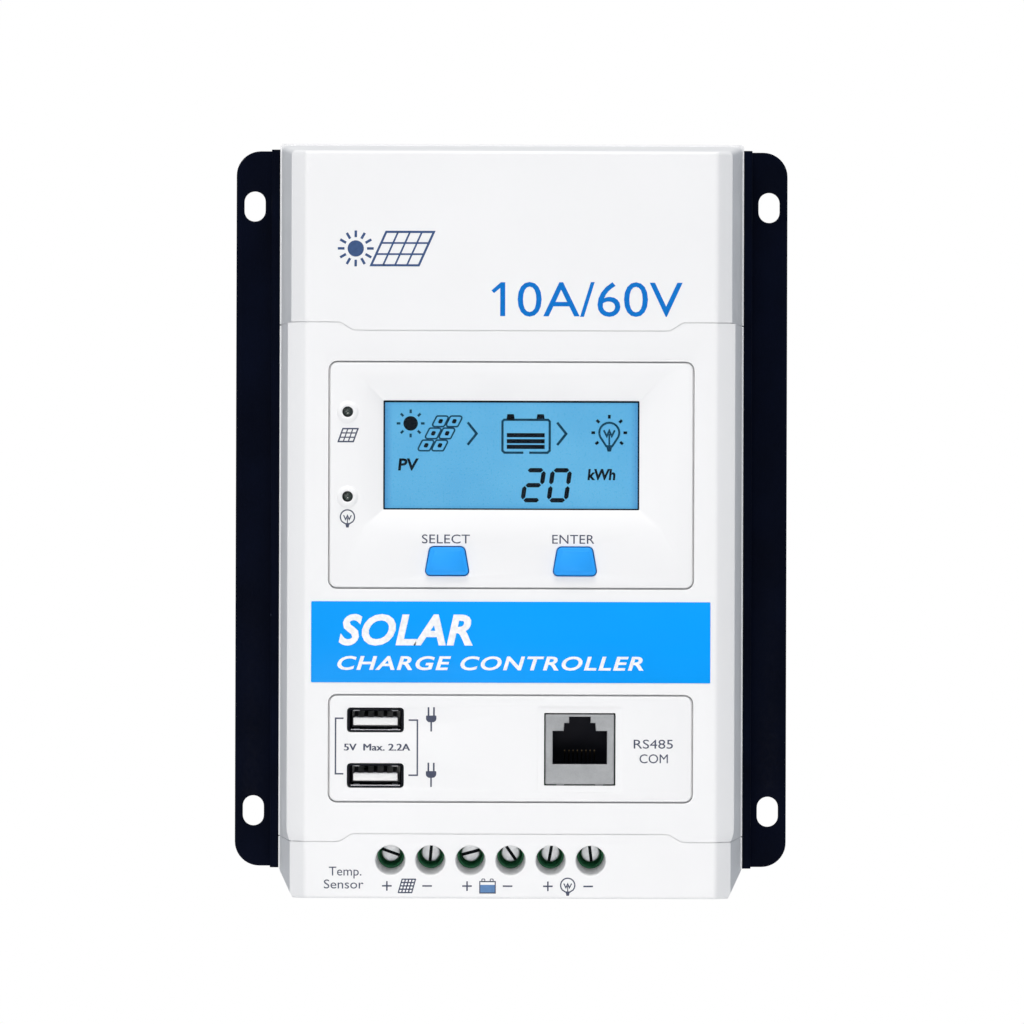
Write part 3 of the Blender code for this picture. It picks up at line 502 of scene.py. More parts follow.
def label_film(name, colour):
    """Satin vinyl with printed colour: soft dye variation, fine pores and a faint roll direction."""
    surface = Surface(name, 0.42, IOR=1.45, Specular_IOR_Level=0.12)
    surface.colour(surface.mottled(surface.noise(35.0, 3.0), colour, 0.975, 1.025))
    rolled = surface.noise(500.0, 2.0, 0.5, surface.stretched((0.08, 1.0, 1.0)))
    surface.roughness(surface.spread(rolled, 0.38, 0.48))
    surface.bump(surface.noise(2600.0, 2.0), 0.35, 0.006)
    surface.bump(rolled, 0.1, 0.01)
    return surface.material


def circuit_board(name, colour):
    """Solder mask over copper: tracks show as slightly raised, lighter bands."""
    surface = Surface(name, 0.35, IOR=1.5)
    black, white = (0, 0, 0, 1), (1, 1, 1, 1)
    bricks = {"Vector": surface.place, "Scale": 90.0, "Mortar Size": 0.06, "Color1": black, "Color2": black,
              "Mortar": white}
    tracks = surface.add("ShaderNodeTexBrick", bricks).outputs["Color"]
    weave = surface.noise(1500.0, 2.0)
    base = surface.mottled(weave, colour, 0.85, 1.15)
    surface.colour(surface.mixed(tracks, base, shade(colour, 1.8)))
    surface.roughness(surface.spread(weave, 0.28, 0.42))
    surface.bump(tracks, 0.4, 0.03)
    return surface.material


def lit_panel(name):
    """A backlit display: sky blue, bluer and a little darker towards its edges, over a faint cell grid."""
    surface = Surface(name, 0.3, IOR=1.5)
    split = surface.add("ShaderNodeSeparateXYZ", {0: surface.place})
    x_high, z_low, z_high = (side * MM for side in WINDOW[1:])
    across = surface.math("ABSOLUTE", split.outputs["X"])
    sideways = surface.spread(across, 0.0, 1.0, x_high - 2.2 * MM, x_high)
    above = surface.math("ABSOLUTE", surface.math("SUBTRACT", split.outputs["Z"], (z_low + z_high) / 2))
    upwards = surface.spread(above, 0.0, 1.0, (z_high - z_low) / 2 - 1.0 * MM, (z_high - z_low) / 2)
    rim = surface.math("MAXIMUM", sideways, surface.math("MULTIPLY", upwards, 0.6))
    cloud = surface.spread(surface.noise(60.0, 2.0))
    field = surface.mixed(cloud, (0.085, 0.400, 0.700, 1.0), (0.110, 0.445, 0.735, 1.0))
    light = surface.mixed(surface.math("MULTIPLY", rim, 0.75), field, (0.040, 0.21, 0.52, 1.0))
    surface.colour(surface.mixed(rim, (0.02, 0.05, 0.08, 1.0), (0.01, 0.03, 0.06, 1.0)))
    surface.tree.links.new(light, surface.shader.inputs["Emission Color"])
    surface.shader.inputs["Emission Strength"].default_value = 0.95
    grid = surface.noise(2000.0, 1.0)
    surface.roughness(surface.spread(grid, 0.25, 0.4))
    surface.bump(grid, 0.1, 0.004)
    return surface.material


def clear_window(name):
    """Clear acrylic with faint haze and hairline marks."""
    surface = Surface(name, 0.04, IOR=1.2, Transmission_Weight=1.0)
    haze = surface.noise(90.0, 3.0)
    surface.colour(surface.mixed(surface.spread(haze), (0.97, 0.985, 1.0, 1.0), (1.0, 1.0, 1.0, 1.0)))
    surface.roughness(surface.spread(haze, 0.02, 0.05))
    surface.bump(surface.noise(400.0, 1.0, 0.5, surface.stretched((0.1, 1.0, 1.0))), 0.02, 0.002)
    return surface.material


def lamp_lens(name, colour):
    """An unlit indicator's diffused resin dome."""
    surface = Surface(name, 0.12, IOR=1.52, Coat_Weight=0.6)
    cloud = surface.spread(surface.noise(1500.0, 2.0))
    surface.colour(surface.mixed(cloud, shade(colour, 0.7), shade(colour, 1.3)))
    surface.roughness(surface.spread(cloud, 0.1, 0.2, 0.0, 1.0))
    surface.bump(surface.noise(2500.0, 1.0), 0.1, 0.004)
    return surface.material


WHITE = (0.89, 0.89, 0.895)
MATERIALS = {
    "navy_aluminium": powder_coat("navy_powder_coat", (0.0014, 0.0027, 0.0095)),
    "case_white": moulded("case_white_plastic", WHITE, 0.42, variation=0.008),
    "label_blue": label_film("banner_film", (0.0, 0.345, 0.98)),
    "button_blue": moulded("button_rubber", (0.022, 0.36, 0.98), 0.5, grain=2200.0, depth=0.02, gloss=0.2),
    "terminal_green": moulded("terminal_green_plastic", (0.035, 0.25, 0.10), 0.35, grain=1800.0, depth=0.02,
                              variation=0.1),
    "plated_steel": metal("plated_sheet", (0.62, 0.62, 0.64), 0.34, (0.05, 1.0, 1.0)),
    "black_plastic": moulded("black_connector_plastic", (0.0022, 0.0028, 0.0090), 0.5, grain=1800.0,
                             depth=0.02, variation=0.2, gloss=0.15),
    "white_plastic": moulded("white_nylon", (0.90, 0.90, 0.89), 0.4, grain=2400.0),
    "board_green": circuit_board("circuit_board", (0.008, 0.09, 0.035)),
    "lcd_glass": lit_panel("backlit_display"),
    "clear_window": clear_window("acrylic_window"),
    "led_lens": lamp_lens("indicator_lens", (0.03, 0.045, 0.04)),
    "ferrite": moulded("ferrite_and_varnish", (0.03, 0.05, 0.03), 0.6, grain=700.0, depth=0.06,
                       variation=0.2),
    "capacitor_sleeve": moulded("capacitor_sleeve", (0.01, 0.015, 0.06), 0.3, grain=900.0, variation=0.1),
    "silicone_pad": moulded("silicone_pad", (0.35, 0.35, 0.40), 0.8, grain=1200.0, depth=0.03,
                            variation=0.06),
}
SCREW_METAL = turned_metal("turned_screw_plating", (0.88, 0.89, 0.92))
# Painted shade: the USB sockets' sheet metal is coloured near black, so their insides look dark.
SOCKET_METAL = metal("socket_metal_painted_dark", (0.022, 0.023, 0.030), 0.45, (0.05, 1.0, 1.0))
JACK_METAL = metal("jack_satin_nickel", (0.40, 0.41, 0.42), 0.62, (1.0, 0.05, 1.0), metallic=0.35)
# Painted shade: the jack's contacts are coloured far darker than gold, so they stay dark deep in the jack.
GOLD = metal("gold_plating_painted_dark", (0.10, 0.075, 0.045), 0.5, (1.0, 0.1, 1.0))
INK_GREY = printed("grey_blue_ink", (0.075, 0.085, 0.13))
INK_BLUE = printed("rating_blue_ink", (0.002, 0.17, 0.58))
INK_EMBLEM = printed("emblem_blue_ink", (0.05, 0.095, 0.22))
INK_FILL = printed("light_blue_ink", (0.12, 0.24, 0.46))
INK_WHITE = printed("white_ink", (0.90, 0.90, 0.92))
SEGMENT_DARK = printed("display_segment_dark", (0.002, 0.006, 0.012), 0.3)
SEGMENT_TEAL = printed("display_segment_teal", (0.008, 0.065, 0.13), 0.3)


# ---------------------------------------------------------------- pieces

EDGE_ANGLE = 35.0


def soften(obj, width):
    """Rounds the sharp edges and shades the flats evenly."""
    bevel = obj.modifiers.new("edges", "BEVEL")
    bevel.width = width * MM
    bevel.segments = 2
    bevel.limit_method = "ANGLE"
    bevel.angle_limit = math.radians(EDGE_ANGLE)
    bevel.use_clamp_overlap = True
    bevel.harden_normals = True


def piece(name, mesh, slot, body, replaces=(), edge=0.0, material=None, smooth=EDGE_ANGLE):
    """A piece that rides on a body, takes its finish from a slot, and may stand for CAD nodes."""
    mesh.name = name
    mesh.materials.clear()
    mesh.materials.append(material or MATERIALS[slot])
    mesh.shade_smooth()
    mesh.set_sharp_from_angle(angle=math.radians(smooth))
    obj = placed(name, mesh)
    if edge:
        soften(obj, edge)
    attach(obj, body)
    if replaces:
        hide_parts(*replaces)
    return obj


def marks(name, mesh, body="base", ink_used=INK_GREY):
    """Printed marks on the white case."""
    piece(name, mesh, "case_white", body, material=ink_used)


def finish_node(name, slot):
    """A CAD node whose shape is right: its edges are softened and it takes the slot's material."""
    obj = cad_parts[name]
    for material_slot in obj.material_slots:
        material_slot.material = MATERIALS[slot]
    weld = obj.modifiers.new("weld", "WELD")
    weld.merge_threshold = 0.002 * MM
    soften(obj, 0.15)


# ---------------------------------------------------------------- heat sink

def sink_section():
    """Flange, web, plate and fins in one line around the cross-section, with rounded corners."""
    flange, raised, web = SINK.x_high, 58.6, 56.1
    plate_back, plate_front = 9.0, 12.0
    right = [(flange, 0.0, 0.3), (flange, FLANGE_FRONT, 0.6), (raised, FLANGE_FRONT, 0.7),
             (raised, plate_front, 0.6)]
    corners = right + [(-x, depth, radius) for x, depth, radius in reversed(right)]
    corners += [(-web, 0.0, 0.3), (-web, plate_back, 0.8)]
    pitch, thickness, fins = 8.0, 1.6, 5
    for index in range(-fins, fins + 1):
        low, high = index * pitch - thickness / 2, index * pitch + thickness / 2
        corners += [(low, plate_back, 0.6), (low, 0.0, 0.45), (high, 0.0, 0.45), (high, plate_back, 0.6)]
    corners += [(web, plate_back, 0.8), (web, 0.0, 0.3)]
    return rounded_corners(corners, 3)


def make_heat_sink():
    section = sink_section()
    sink = lofted([[at(x, depth, z) for x, depth in section] for z in (SINK.z_low, SINK.z_high)])
    sink = common(sink, prism(rounded_rectangle(rectangle(SINK), FLANGE_CORNER, steps=10), -2.0, 40.0))
    pedestal = block(-28, 28, 10.0, 16.2, 54, 76)
    posts = [turned(x, z, [(10.0, 3.0), (17.7, 3.0)], 24) for x in (-43.0, 43.0) for z in (-75.5, 80.0)]
    sink = joined(sink, pedestal, *posts)
    across, up = SLOT_SIZE[0] / 2, SLOT_SIZE[1] / 2
    profile = [(-2.0, 0.4), (0.0, 0.4), (0.4, 0.0), *mouth_rounding(FLANGE_FRONT, 0.35)]
    slots = [rounded_block((x - across, x + across, z - up, z + up), across - 0.01, profile, 8)
             for x in (-SLOT_X, SLOT_X) for z in (-SLOT_Z, SLOT_Z)]
    holes = [turned(x, z, [(8.0, SCREW_HOLE), (13.0, SCREW_HOLE)], 20)
             for x in (-CASE_SCREW_X, CASE_SCREW_X) for z in (-30.0, CASE_SCREW_Z)]
    piece("heat_sink_extrusion", cut(sink, *slots, *holes), "navy_aluminium", "base", ["heat_sink"], edge=0.2)


# ---------------------------------------------------------------- case

def case_section(shoulder, inset, rim):
    """The case's (x, depth) cross-section, its walls moved in by inset. The rim stands out at the back."""
    draft = (BACK_HALF_WIDTH - shoulder) / (SHOULDER_DEPTH - CASE_BACK)
    if rim:
        back = [(BACK_HALF_WIDTH - inset, CASE_BACK, 0.0), (BACK_HALF_WIDTH - inset, RIM_EDGE, 0.1),
                (BACK_HALF_WIDTH - RIM - inset, RIM_END, 0.05)]
    else:
        back = [(BACK_HALF_WIDTH - inset + draft * 1.0, CASE_BACK - 1.0, 0.0)]
    right = back + [(shoulder - inset, SHOULDER_DEPTH - 0.6 * inset, 0.5),
                    (FRONT_HALF_WIDTH - 0.4 * inset, FRONT - inset, 2.0)]
    return rounded_corners(right + [(-x, depth, radius) for x, depth, radius in reversed(right)])


def case_solid(heights, inset=0.0, rim=True, shoulder_at=lambda height: COVER_SHOULDER):
    """A solid through the case's sections at (height, further inset) pairs."""
    return lofted([[at(x, depth, z) for x, depth in case_section(shoulder_at(z), inset + further, rim)]
                   for z, further in heights])


def fascia_shoulder(height):
    """The fascia stands a little wider than the covers, and curves in to the lower one at its end."""
    share = min(max((height - LOWER_SEAM) / 3.0, 0.0), 1.0)
    return COVER_SHOULDER + (FASCIA_SHOULDER - COVER_SHOULDER) * math.sin(share * math.pi / 2)


def seam_outline(side, tongue, shift, far):
    """The side of a stepped seam that reaches to height far, as an (x, z) outline."""
    outer = TONGUE_HALF_WIDTH + TONGUE_SLOPE
    seam = [(-REACH, side), (-outer, side), (-TONGUE_HALF_WIDTH, tongue), (TONGUE_HALF_WIDTH, tongue),
            (outer, side), (REACH, side)]
    corners = [(x, z + shift) for x, z in seam] + [(REACH, far), (-REACH, far)]
    return rounded(corners, [0, SEAM_BEND, SEAM_BEND, SEAM_BEND, SEAM_BEND, 0, 0, 0])


def cut_bottom_corners(mesh, inset):
    """Cuts both bottom corners on a plane that leans inwards towards the front."""
    bm = taken_from(mesh)
    slope = Vector((-CORNER_CUT_X, 0, -CORNER_CUT_Z))
    lean = Vector((-CORNER_CUT_LEAN, -(SHOULDER_DEPTH - CASE_BACK), 0))
    normal = lean.cross(slope).normalized()
    normal = -normal if normal.x < 0 else normal
    corner = Vector((BACK_HALF_WIDTH - CORNER_CUT_X, -CASE_BACK, LOWER.z_low)) - normal * inset
    for side in (1, -1):
        flip = Vector((side, 1, 1))
        bmesh.ops.bisect_plane(bm, geom=bm.verts[:] + bm.edges[:] + bm.faces[:], plane_co=corner * flip * MM,
                               plane_no=normal * flip, clear_outer=True)
        bmesh.ops.holes_fill(bm, edges=[edge for edge in bm.edges if edge.is_boundary])
    bmesh.ops.recalc_face_normals(bm, faces=bm.faces)
    return mesh_of(bm)


def between(points, place):
    """The value at a place along a line of (place, value) points in rising order."""
    for (start, low), (end, high) in zip(points, points[1:]):
        if place <= end:
            return low + (high - low) * max(place - start, 0.0) / (end - start)
    return points[-1][1]


def cover_solid(start, inset, rim):
    """Upright rings from back to front, because the top wall leans back as the side walls do."""
    side = [(depth, x) for x, depth in case_section(COVER_SHOULDER, inset, rim) if x > 0]
    front = FRONT - inset
    top_start = RIM_END if rim else CASE_BACK - 1.0
    top = [(top_start, UPPER.z_high - RIM - 0.1 - inset), (front, TOP_FRONT - inset)]
    if rim:
        top = [(CASE_BACK, UPPER.z_high), (RIM_EDGE, UPPER.z_high - 0.05), *top]
    drop = [(front - TOP_ROUND + ahead, down) for ahead, down in quarter(TOP_ROUND, 6)]
    corner = [(RIM_EDGE, 0.8), (RIM_END, 1.3), (SHOULDER_DEPTH, 1.3), (FRONT, 0.6)]
    rings = []
    for depth in sorted({depth for depth, _ in side} | {depth for depth, _ in drop}):
        half = between(side, depth)
        height = between(top, depth) - (between(drop, depth) if depth > drop[0][0] else 0.0)
        outline = rounded([(half, height), (-half, height), (-half, start), (half, start)],
                          [between(corner, depth), between(corner, depth), 0, 0])
        rings.append([at(x, depth, z) for x, z in outline])
    return lofted(rings)


def make_upper_cover():
    start = UPPER_TONGUE - 5
    cover = cut(cover_solid(start, 0.0, True), cover_solid(start - 1, WALL, False))
    outline = seam_outline(UPPER_SEAM, UPPER_TONGUE, SEAM_GAP / 2, 99.0)
    cover = common(cover, prism(outline, CASE_BACK - 5, REACH))
    post = [(CASE_BACK, SCREW_HOLE), (CASE_BACK, 2.8), (23.0, 2.8), (23.0, SCREW_HOLE)]
    posts = [turned_ring(x, CASE_SCREW_Z, post, 24) for x in (-CASE_SCREW_X, CASE_SCREW_X)]
    piece("upper_cover_shell", merged([cover, *posts]), "case_white", "base", ["upper_cover"], edge=0.1)


def between_seams(solid, shift, back):
    """The part of a solid between the two stepped seams, moved towards each other by shift."""
    above = seam_outline(UPPER_SEAM, UPPER_TONGUE, -shift, -120.0)
    below = seam_outline(LOWER_SEAM, LOWER_TONGUE, shift, 120.0)
    return common(common(solid, prism(above, back, REACH)), prism(below, back, REACH))


def make_fascia():
    heights = [(LOWER_SEAM - 5 + step, 0.0) for step in range(9)] + [(UPPER_SEAM + 5, 0.0)]
    fascia = between_seams(case_solid(heights, shoulder_at=fascia_shoulder), SEAM_GAP / 2, CASE_BACK - 5)
    lip = between_seams(case_solid(heights, SEAM_DEPTH, rim=False), 0.02 - SEAM_GAP / 2, CASE_BACK)
    fascia = joined(fascia, lip)
    fascia = cut(fascia, case_solid([(LOWER_SEAM - 6, 0.0), (UPPER_SEAM + 6, 0.0)], WALL, rim=False))
    bays = ((DISPLAY, DISPLAY_FLOOR), (INTERFACE, INTERFACE_FLOOR))
    grow = MODULE_CLEARANCE + WALL
    fascia = joined(fascia, *[prism(rounded_rectangle(rectangle(module), 1.0, grow, 3), floor - 1.5,
                                    FRONT - WALL / 2) for module, floor in bays])
    cutters = [rounded_block(rectangle(module, MODULE_CLEARANCE), MODULE_CORNER + MODULE_CLEARANCE,
                             [(floor, 0.0), *mouth_rounding(FRONT, 0.15)]) for module, floor in bays]
    sides = rectangle(BANNER, 0.02)
    fascia = cut(fascia, *cutters, block(*sides[:2], BANNER.back, FRONT + 3, *sides[2:]))
    headers = [block(-11, 11, floor - 3.0, floor + 1.0, extent(node).z_low - 1, extent(node).z_high + 1)
               for floor, node in ((DISPLAY_FLOOR, "display_header"), (INTERFACE_FLOOR, "interface_header"))]
    piece("front_fascia_shell", cut(fascia, *headers), "case_white", "base", ["front_fascia"], edge=0.08)


def make_banner():
    piece("banner_film", filled_box(BANNER, 0.3, 0.08, edge_steps=2), "label_blue", "base", ["banner_label"])


def make_terminal_cover():
    rise, below = LOWER_TONGUE + 5, LOWER.z_low - 1
    bottom = [(LOWER.z_low + BOTTOM_ROUND - down, aside) for down, aside in quarter(BOTTOM_ROUND)]
    cover = cut_bottom_corners(case_solid([*reversed(bottom), (rise, 0.0)]), 0.0)
    hollow = case_solid([(LOWER.z_low + WALL, 0.0), (rise + 1, 0.0)], WALL, rim=False)
    cover = cut(cover, cut_bottom_corners(hollow, WALL))
    outline = seam_outline(LOWER_SEAM, LOWER_TONGUE, -SEAM_GAP / 2, -120.0)
    cover = common(cover, prism(outline, CASE_BACK - 5, REACH))
    tubes = [turned(x, DRIVER_HOLE_Z, [(DRIVER_TUBE_END, 4.3), (FRONT - WALL / 2, 4.6)], lean=DRIVER_LEAN)
             for x in POLES]
    lip = block(-50, 50, CASE_BACK, CASE_BACK + WALL, LOWER.z_low + WALL / 2, SINK.z_low - 0.3)
    cover = joined(cover, lip, *tubes)
    flare = [(depth, DRIVER_MOUTH - 0.15 + grow) for depth, grow in mouth_rounding(FRONT, 0.3)]
    drivers = [turned(x, DRIVER_HOLE_Z, [(DRIVER_TUBE_END - 1, DRIVER_DEEP), *flare], lean=DRIVER_LEAN)
               for x in POLES]
    port, inner = extent("temperature_sensor_port"), LOWER.z_low + WALL + 1
    entries = [block(x - WIRE_ENTRY / 2, x + WIRE_ENTRY / 2, ENTRY_BACK, 30.0, below, inner) for x in POLES]
    entries.append(block(port.x_low + 0.6, port.x_high - 0.6, port.back + 0.8, port.front - 0.7, below,
                         inner))
    piece("terminal_cover_shell", cut(cover, *drivers, *entries), "case_white", "base", ["terminal_cover"],
          edge=0.1)


# ---------------------------------------------------------------- display module

def module_body(box):
    """A module's hollow frame: square sides with a ledge that closes the groove around it."""
    profile = [(box.back, LEDGE), (FRONT - LEDGE_DEPTH, LEDGE), (FRONT - LEDGE_DEPTH, 0.0),
               *edge_rounding(FRONT, 0.2)]
    inside = rounded_rectangle(rectangle(box), MODULE_CORNER, -MODULE_WALL)
    hollow = prism(inside, box.back - 1, FRONT - PANEL)
    return cut(rounded_block(rectangle(box), MODULE_CORNER, profile), hollow)


def make_bezel():
    x_low, x_high, z_low, z_high = RECESS
    rim = 1.8
    bezel = joined(module_body(DISPLAY), block(x_low - rim, x_high + rim, 42.8, FRONT - 0.9, z_low - rim,
                                               z_high + rim))
    deep = rounded_rectangle(WINDOW, 0.25, steps=3)
    mouth, beyond = (rounded_rectangle(RECESS, 0.8, grow, 3) for grow in (0.0, 0.05))
    recess = stacked([(41.0, deep), (FRONT - RECESS_DEPTH, deep), (FRONT, mouth), (FRONT + 1, beyond)])
    leds = [turned(*middle(extent(node)), [(42.0, LED_HOLE), (FRONT + 1, LED_HOLE)], 32) for node in LAMPS]
    buttons = [swept(lambda grow, node=node: trapezoid(*middle(extent(node)), 0.22 + grow),
                     [(42.0, 0.0), *mouth_rounding(FRONT, 0.2, 3)]) for node in BUTTONS]
    piece("display_bezel_frame", cut(bezel, recess, *leds, *buttons), "case_white", "display_module",
          ["display_bezel"], edge=0.08)


def make_indicators():
    for node in LAMPS:
        lamp = extent(node)
        x, z = middle(lamp)
        flange, neck = 1.55, 1.05
        dome = [(45.3 + 0.8 * math.sin(a), neck * math.cos(a)) for a in
                [math.radians(85 * step / 6) for step in range(7)]]
        seat = lamp.back + 1.0
        lens = turned(x, z, [(lamp.back, flange), (seat, flange), (seat, neck), *dome], 32)
        piece(f"{node}_lens", lens, "led_lens", "display_module", [node])
        ring = [(-0.4, LED_HOLE - 0.02), (0.25, LED_HOLE - 0.02), (0.42, 1.45), (0.46, 1.65), (0.42, 1.9),
                (0.3, 2.2), (0.14, 2.45), (-0.02, 2.62), (-0.4, 2.62)]
        collar = turned_ring(x, z, [(FRONT + ahead, radius) for ahead, radius in ring], 48)
        piece(f"{node}_collar", collar, "case_white", "display_module")


def make_buttons():
    for node in BUTTONS:
        button = extent(node)
        x, z = middle(button)
        lip_back, lip_front, lip = 42.9, 44.3, 0.8
        rim = edge_rounding(button.front - 0.12, 0.5, 5)
        cap = swept(lambda grow: trapezoid(x, z, grow),
                    [(lip_back, lip), (lip_front, lip), (lip_front, 0.0), *rim, (button.front - 0.05, -0.95),
                     (button.front, -0.99)])
        stem = turned(x, z, [(button.back, 1.1), (button.back + 0.3, 1.4), (lip_back + 0.5, 1.4)], 24)
        piece(f"{node}_cap", joined(cap, stem), "button_blue", node, [node], smooth=50.0)


# ---------------------------------------------------------------- interface module

def make_interface_panel():
    profile = [(43.0, 0.0), *mouth_rounding(FRONT, 0.15, 2)]
    cutters = [rounded_block(rectangle(extent(node), 0.2), 0.8, profile, 3)
               for node in ("usb_shell_upper", "usb_shell_lower")]
    cutters.append(prism(rounded_rectangle(rectangle(JACK, 0.3), 0.2, steps=2), 43.0, FRONT + 1))
    panel = cut(module_body(INTERFACE), *cutters)
    surround = rounded_rectangle((6.5, 26.9, -67.8, -47.2), 0.5, steps=3)
    panel = cut(panel, prism(surround, FRONT - 0.2, FRONT + 1))
    piece("interface_panel_frame", panel, "case_white", "interface_module", ["interface_panel"], edge=0.08)


def make_usb_sockets():
    for place in ("upper", "lower"):
        shell, tongue = extent(f"usb_shell_{place}"), extent(f"usb_tongue_{place}")
        x, z = middle(shell)
        outer = filled_box(shell, 0.8, 0.12, 4, 2)
        inner = rounded_block(rectangle(shell, -SHEET), 0.8 - SHEET,
                              [(shell.back + SHEET, 0.0), (shell.front - 0.3, 0.0), (shell.front, 0.26),
                               (shell.front + 1, 0.26)], 4)
        springs_x = (x - 4.6, x + 4.6)
        slits = [block(spring_x - 0.9, spring_x + 0.9, 36.0, 43.6, wall - 0.5, wall + 0.5)
                 for spring_x in springs_x for wall in (shell.z_low, shell.z_high)]
        piece(f"usb_can_{place}", cut(cut(outer, inner), *slits), "plated_steel", "interface_module",
              [f"usb_shell_{place}"], material=SOCKET_METAL)
        base = block(x - 5.8, x + 5.8, 32.8, 35.3, z - 1.95, z + 1.95)
        plate = rounded_block((x - 5.35, x + 5.35, z - 1.3, z + 0.6), 0.25,
                              [(34.5, 0.0), *edge_rounding(tongue.front, 0.3, 3)], 3)
        piece(f"usb_tongue_body_{place}", joined(base, plate), "white_plastic", "interface_module",
              [f"usb_tongue_{place}"])
        # Contacts rise from the tongue to the socket's roof at the back, and fingers bow in from its walls.
        rising = ((44.4, 0.65), (42.5, 0.72), (40.0, 1.1), (38.0, 1.9), (36.0, 2.2))
        bow = ((36.4, 0.0), (38.0, 0.15), (40.5, 0.45), (42.0, 0.5), (43.2, 0.3))
        parts = [strip(x + (index - 2) * 2.3, [(depth, z + rise) for depth, rise in rising], 0.45, 0.06, 0.08)
                 for index in range(5)]
        parts += [strip(spring_x, [(depth, wall - up * drop) for depth, drop in bow], 0.7, 0.1, 0.1)
                  for spring_x in springs_x
                  for wall, up in ((shell.z_low + SHEET / 2, -1), (shell.z_high - SHEET / 2, 1))]
        parts.append(block(x - 5.9, x + 5.9, shell.front - 0.6, shell.front - 0.02, shell.z_low + 0.36,
                           shell.z_low + 0.5))
        piece(f"usb_contacts_{place}", merged(parts), "plated_steel", "interface_module")


def make_network_jack():
    shield = filled_box(JACK, 0.3, 0.35)
    hollow = block(JACK.x_low + 0.5, JACK.x_high - 0.5, JACK.back - 1, JACK.front - 0.5, JACK.z_low + 0.5,
                   JACK.z_high - 0.6)
    mouth = swept(port_outline, [(44.0, 0.0), *mouth_rounding(JACK.front, 0.28, 3)])
    tabs = [block(x - 0.9, x + 0.9, 41.5, JACK.front - 0.6, JACK.z_low - 0.28, JACK.z_low + 0.1)
            for x in (JACK.x_low + 3.6, JACK.x_high - 3.6)]
    piece("jack_shield_can", merged([cut(cut(shield, hollow), mouth), *tabs]), "plated_steel",
          "interface_module", ["jack_shield"], material=JACK_METAL)
    body = cut(block(*extent("jack_insert")), prism(port_outline(0.0), 33.0, 50.0))
    piece("jack_insert_body", body, "black_plastic", "interface_module", ["jack_insert"], edge=0.12)
    pitch = 1.02
    path = [(33.2, -60.6), (34.8, -60.4), (36.6, -59.0), (38.2, -57.9), (38.5, -58.0)]
    pins = [strip(middle(JACK)[0] + (index - 3.5) * pitch, path, 0.16, 0.12, 0.12) for index in range(8)]
    piece("jack_contacts", merged(pins), "plated_steel", "interface_module", material=GOLD)


# ---------------------------------------------------------------- terminals

def make_terminal_blocks():
    z = middle(extent("terminal_screw_1"))[1]
    for number in (1, 2, 3):
        node = f"terminal_block_{number}"
        box = extent(node)
        poles = POLES[2 * number - 2:2 * number]
        body = cut(block(*box), *[block(x - WIRE_ENTRY / 2, x + WIRE_ENTRY / 2, ENTRY_BACK, 32.2,
                                        box.z_low - 1, -78.9) for x in poles])
        body = cut(body, *[turned(x, z, [(30.0, 1.75), (box.front + 1, 1.75)], 24) for x in poles])
        # Skewed cones lead a screwdriver down to the screw heads.
        cone = ((32.7, 2.55, 0.0), (box.front, 2.85, 0.5), (box.front + 0.4, 2.9, 0.55))
        wells = [stacked([(depth, disc(x, z - drop, radius, 40)) for depth, radius, drop in cone])
                 for x in poles]
        piece(f"terminal_block_body_{number}", cut(body, *wells), "terminal_green", "base", [node], edge=0.15)


def make_terminal_screws():
    for number, (x, angle) in enumerate(zip(POLES, SLOT_ANGLES), 1):
        node = f"terminal_screw_{number}"
        box = extent(node)
        head_back, head = 33.0, (box.x_high - box.x_low) / 2
        thread = []
        depth = box.back + 0.4
        while depth < head_back - 0.6:
            thread += [(depth, 1.2), (depth + 0.25, 1.45)]
            depth += 0.5
        profile = [(box.back, 0.9), *thread, (head_back, 1.4), (head_back, head),
                   *[(d, head + g) for d, g in edge_rounding(box.front - 0.08, 0.3)],
                   (box.front, head - 0.9)]
        screw = turned(0.0, 0.0, [(d - box.front, r) for d, r in profile], 40)
        groove = block(-3, 3, -0.95, 1.0, -0.36, 0.36)
        groove.transform(Matrix.Rotation(math.radians(-angle), 4, "Y"))
        obj = piece(f"{node}_turned", cut(screw, groove), "plated_steel", node, [node], material=SCREW_METAL)
        obj.location = at(x, box.front, middle(box)[1])
        obj.modifiers.new("edges", "BEVEL").width = 0.05 * MM


# ---------------------------------------------------------------- printing

def ink(outlines, surface):
    """Thin closed solids from (x, z) outlines, standing on a surface at that depth."""
    return merged([prism(outline, surface - INK_BELOW, surface + INK_ABOVE - 0.0006 * (index % 12))
                   for index, outline in enumerate(outlines)])


def mitre(arms, width):
    """Half the width of a line, sideways at a point where its one or two unit directions meet."""
    along = sum(arms, Vector((0, 0))).normalized()
    across = Vector((-along.y, along.x))
    return across * (width / 2 / max(across.dot(Vector((-arms[0].y, arms[0].x))), 0.4))


def stroke(points, width):
    """The outline of a line of the given width through the points, mitred at its bends."""
    points = [Vector(point) for point in points]
    steps = [(end - start).normalized() for start, end in zip(points, points[1:])]
    reaches = [mitre(steps[max(index - 1, 0):index + 1], width) for index in range(len(points))]
    left = [tuple(point + reach) for point, reach in zip(points, reaches)]
    right = [tuple(point - reach) for point, reach in zip(points, reaches)]
    return left + right[::-1]


def hollow_outline(points, width, surface):
    """A closed line of ink along the points, as one ring-shaped solid."""
    points = [Vector(point) for point in points]
    steps = [(end - start).normalized() for start, end in zip(points, points[1:] + points[:1])]
    low, high = surface - INK_BELOW, surface + INK_ABOVE
    rings = []
    for index, point in enumerate(points):
        reach = mitre([steps[index - 1], steps[index]], width)
        inner, outer = point - reach, point + reach
        rings.append([at(inner.x, low, inner.y), at(outer.x, low, outer.y), at(outer.x, high, outer.y),
                      at(inner.x, high, inner.y)])
    return lofted(rings, closed=True)


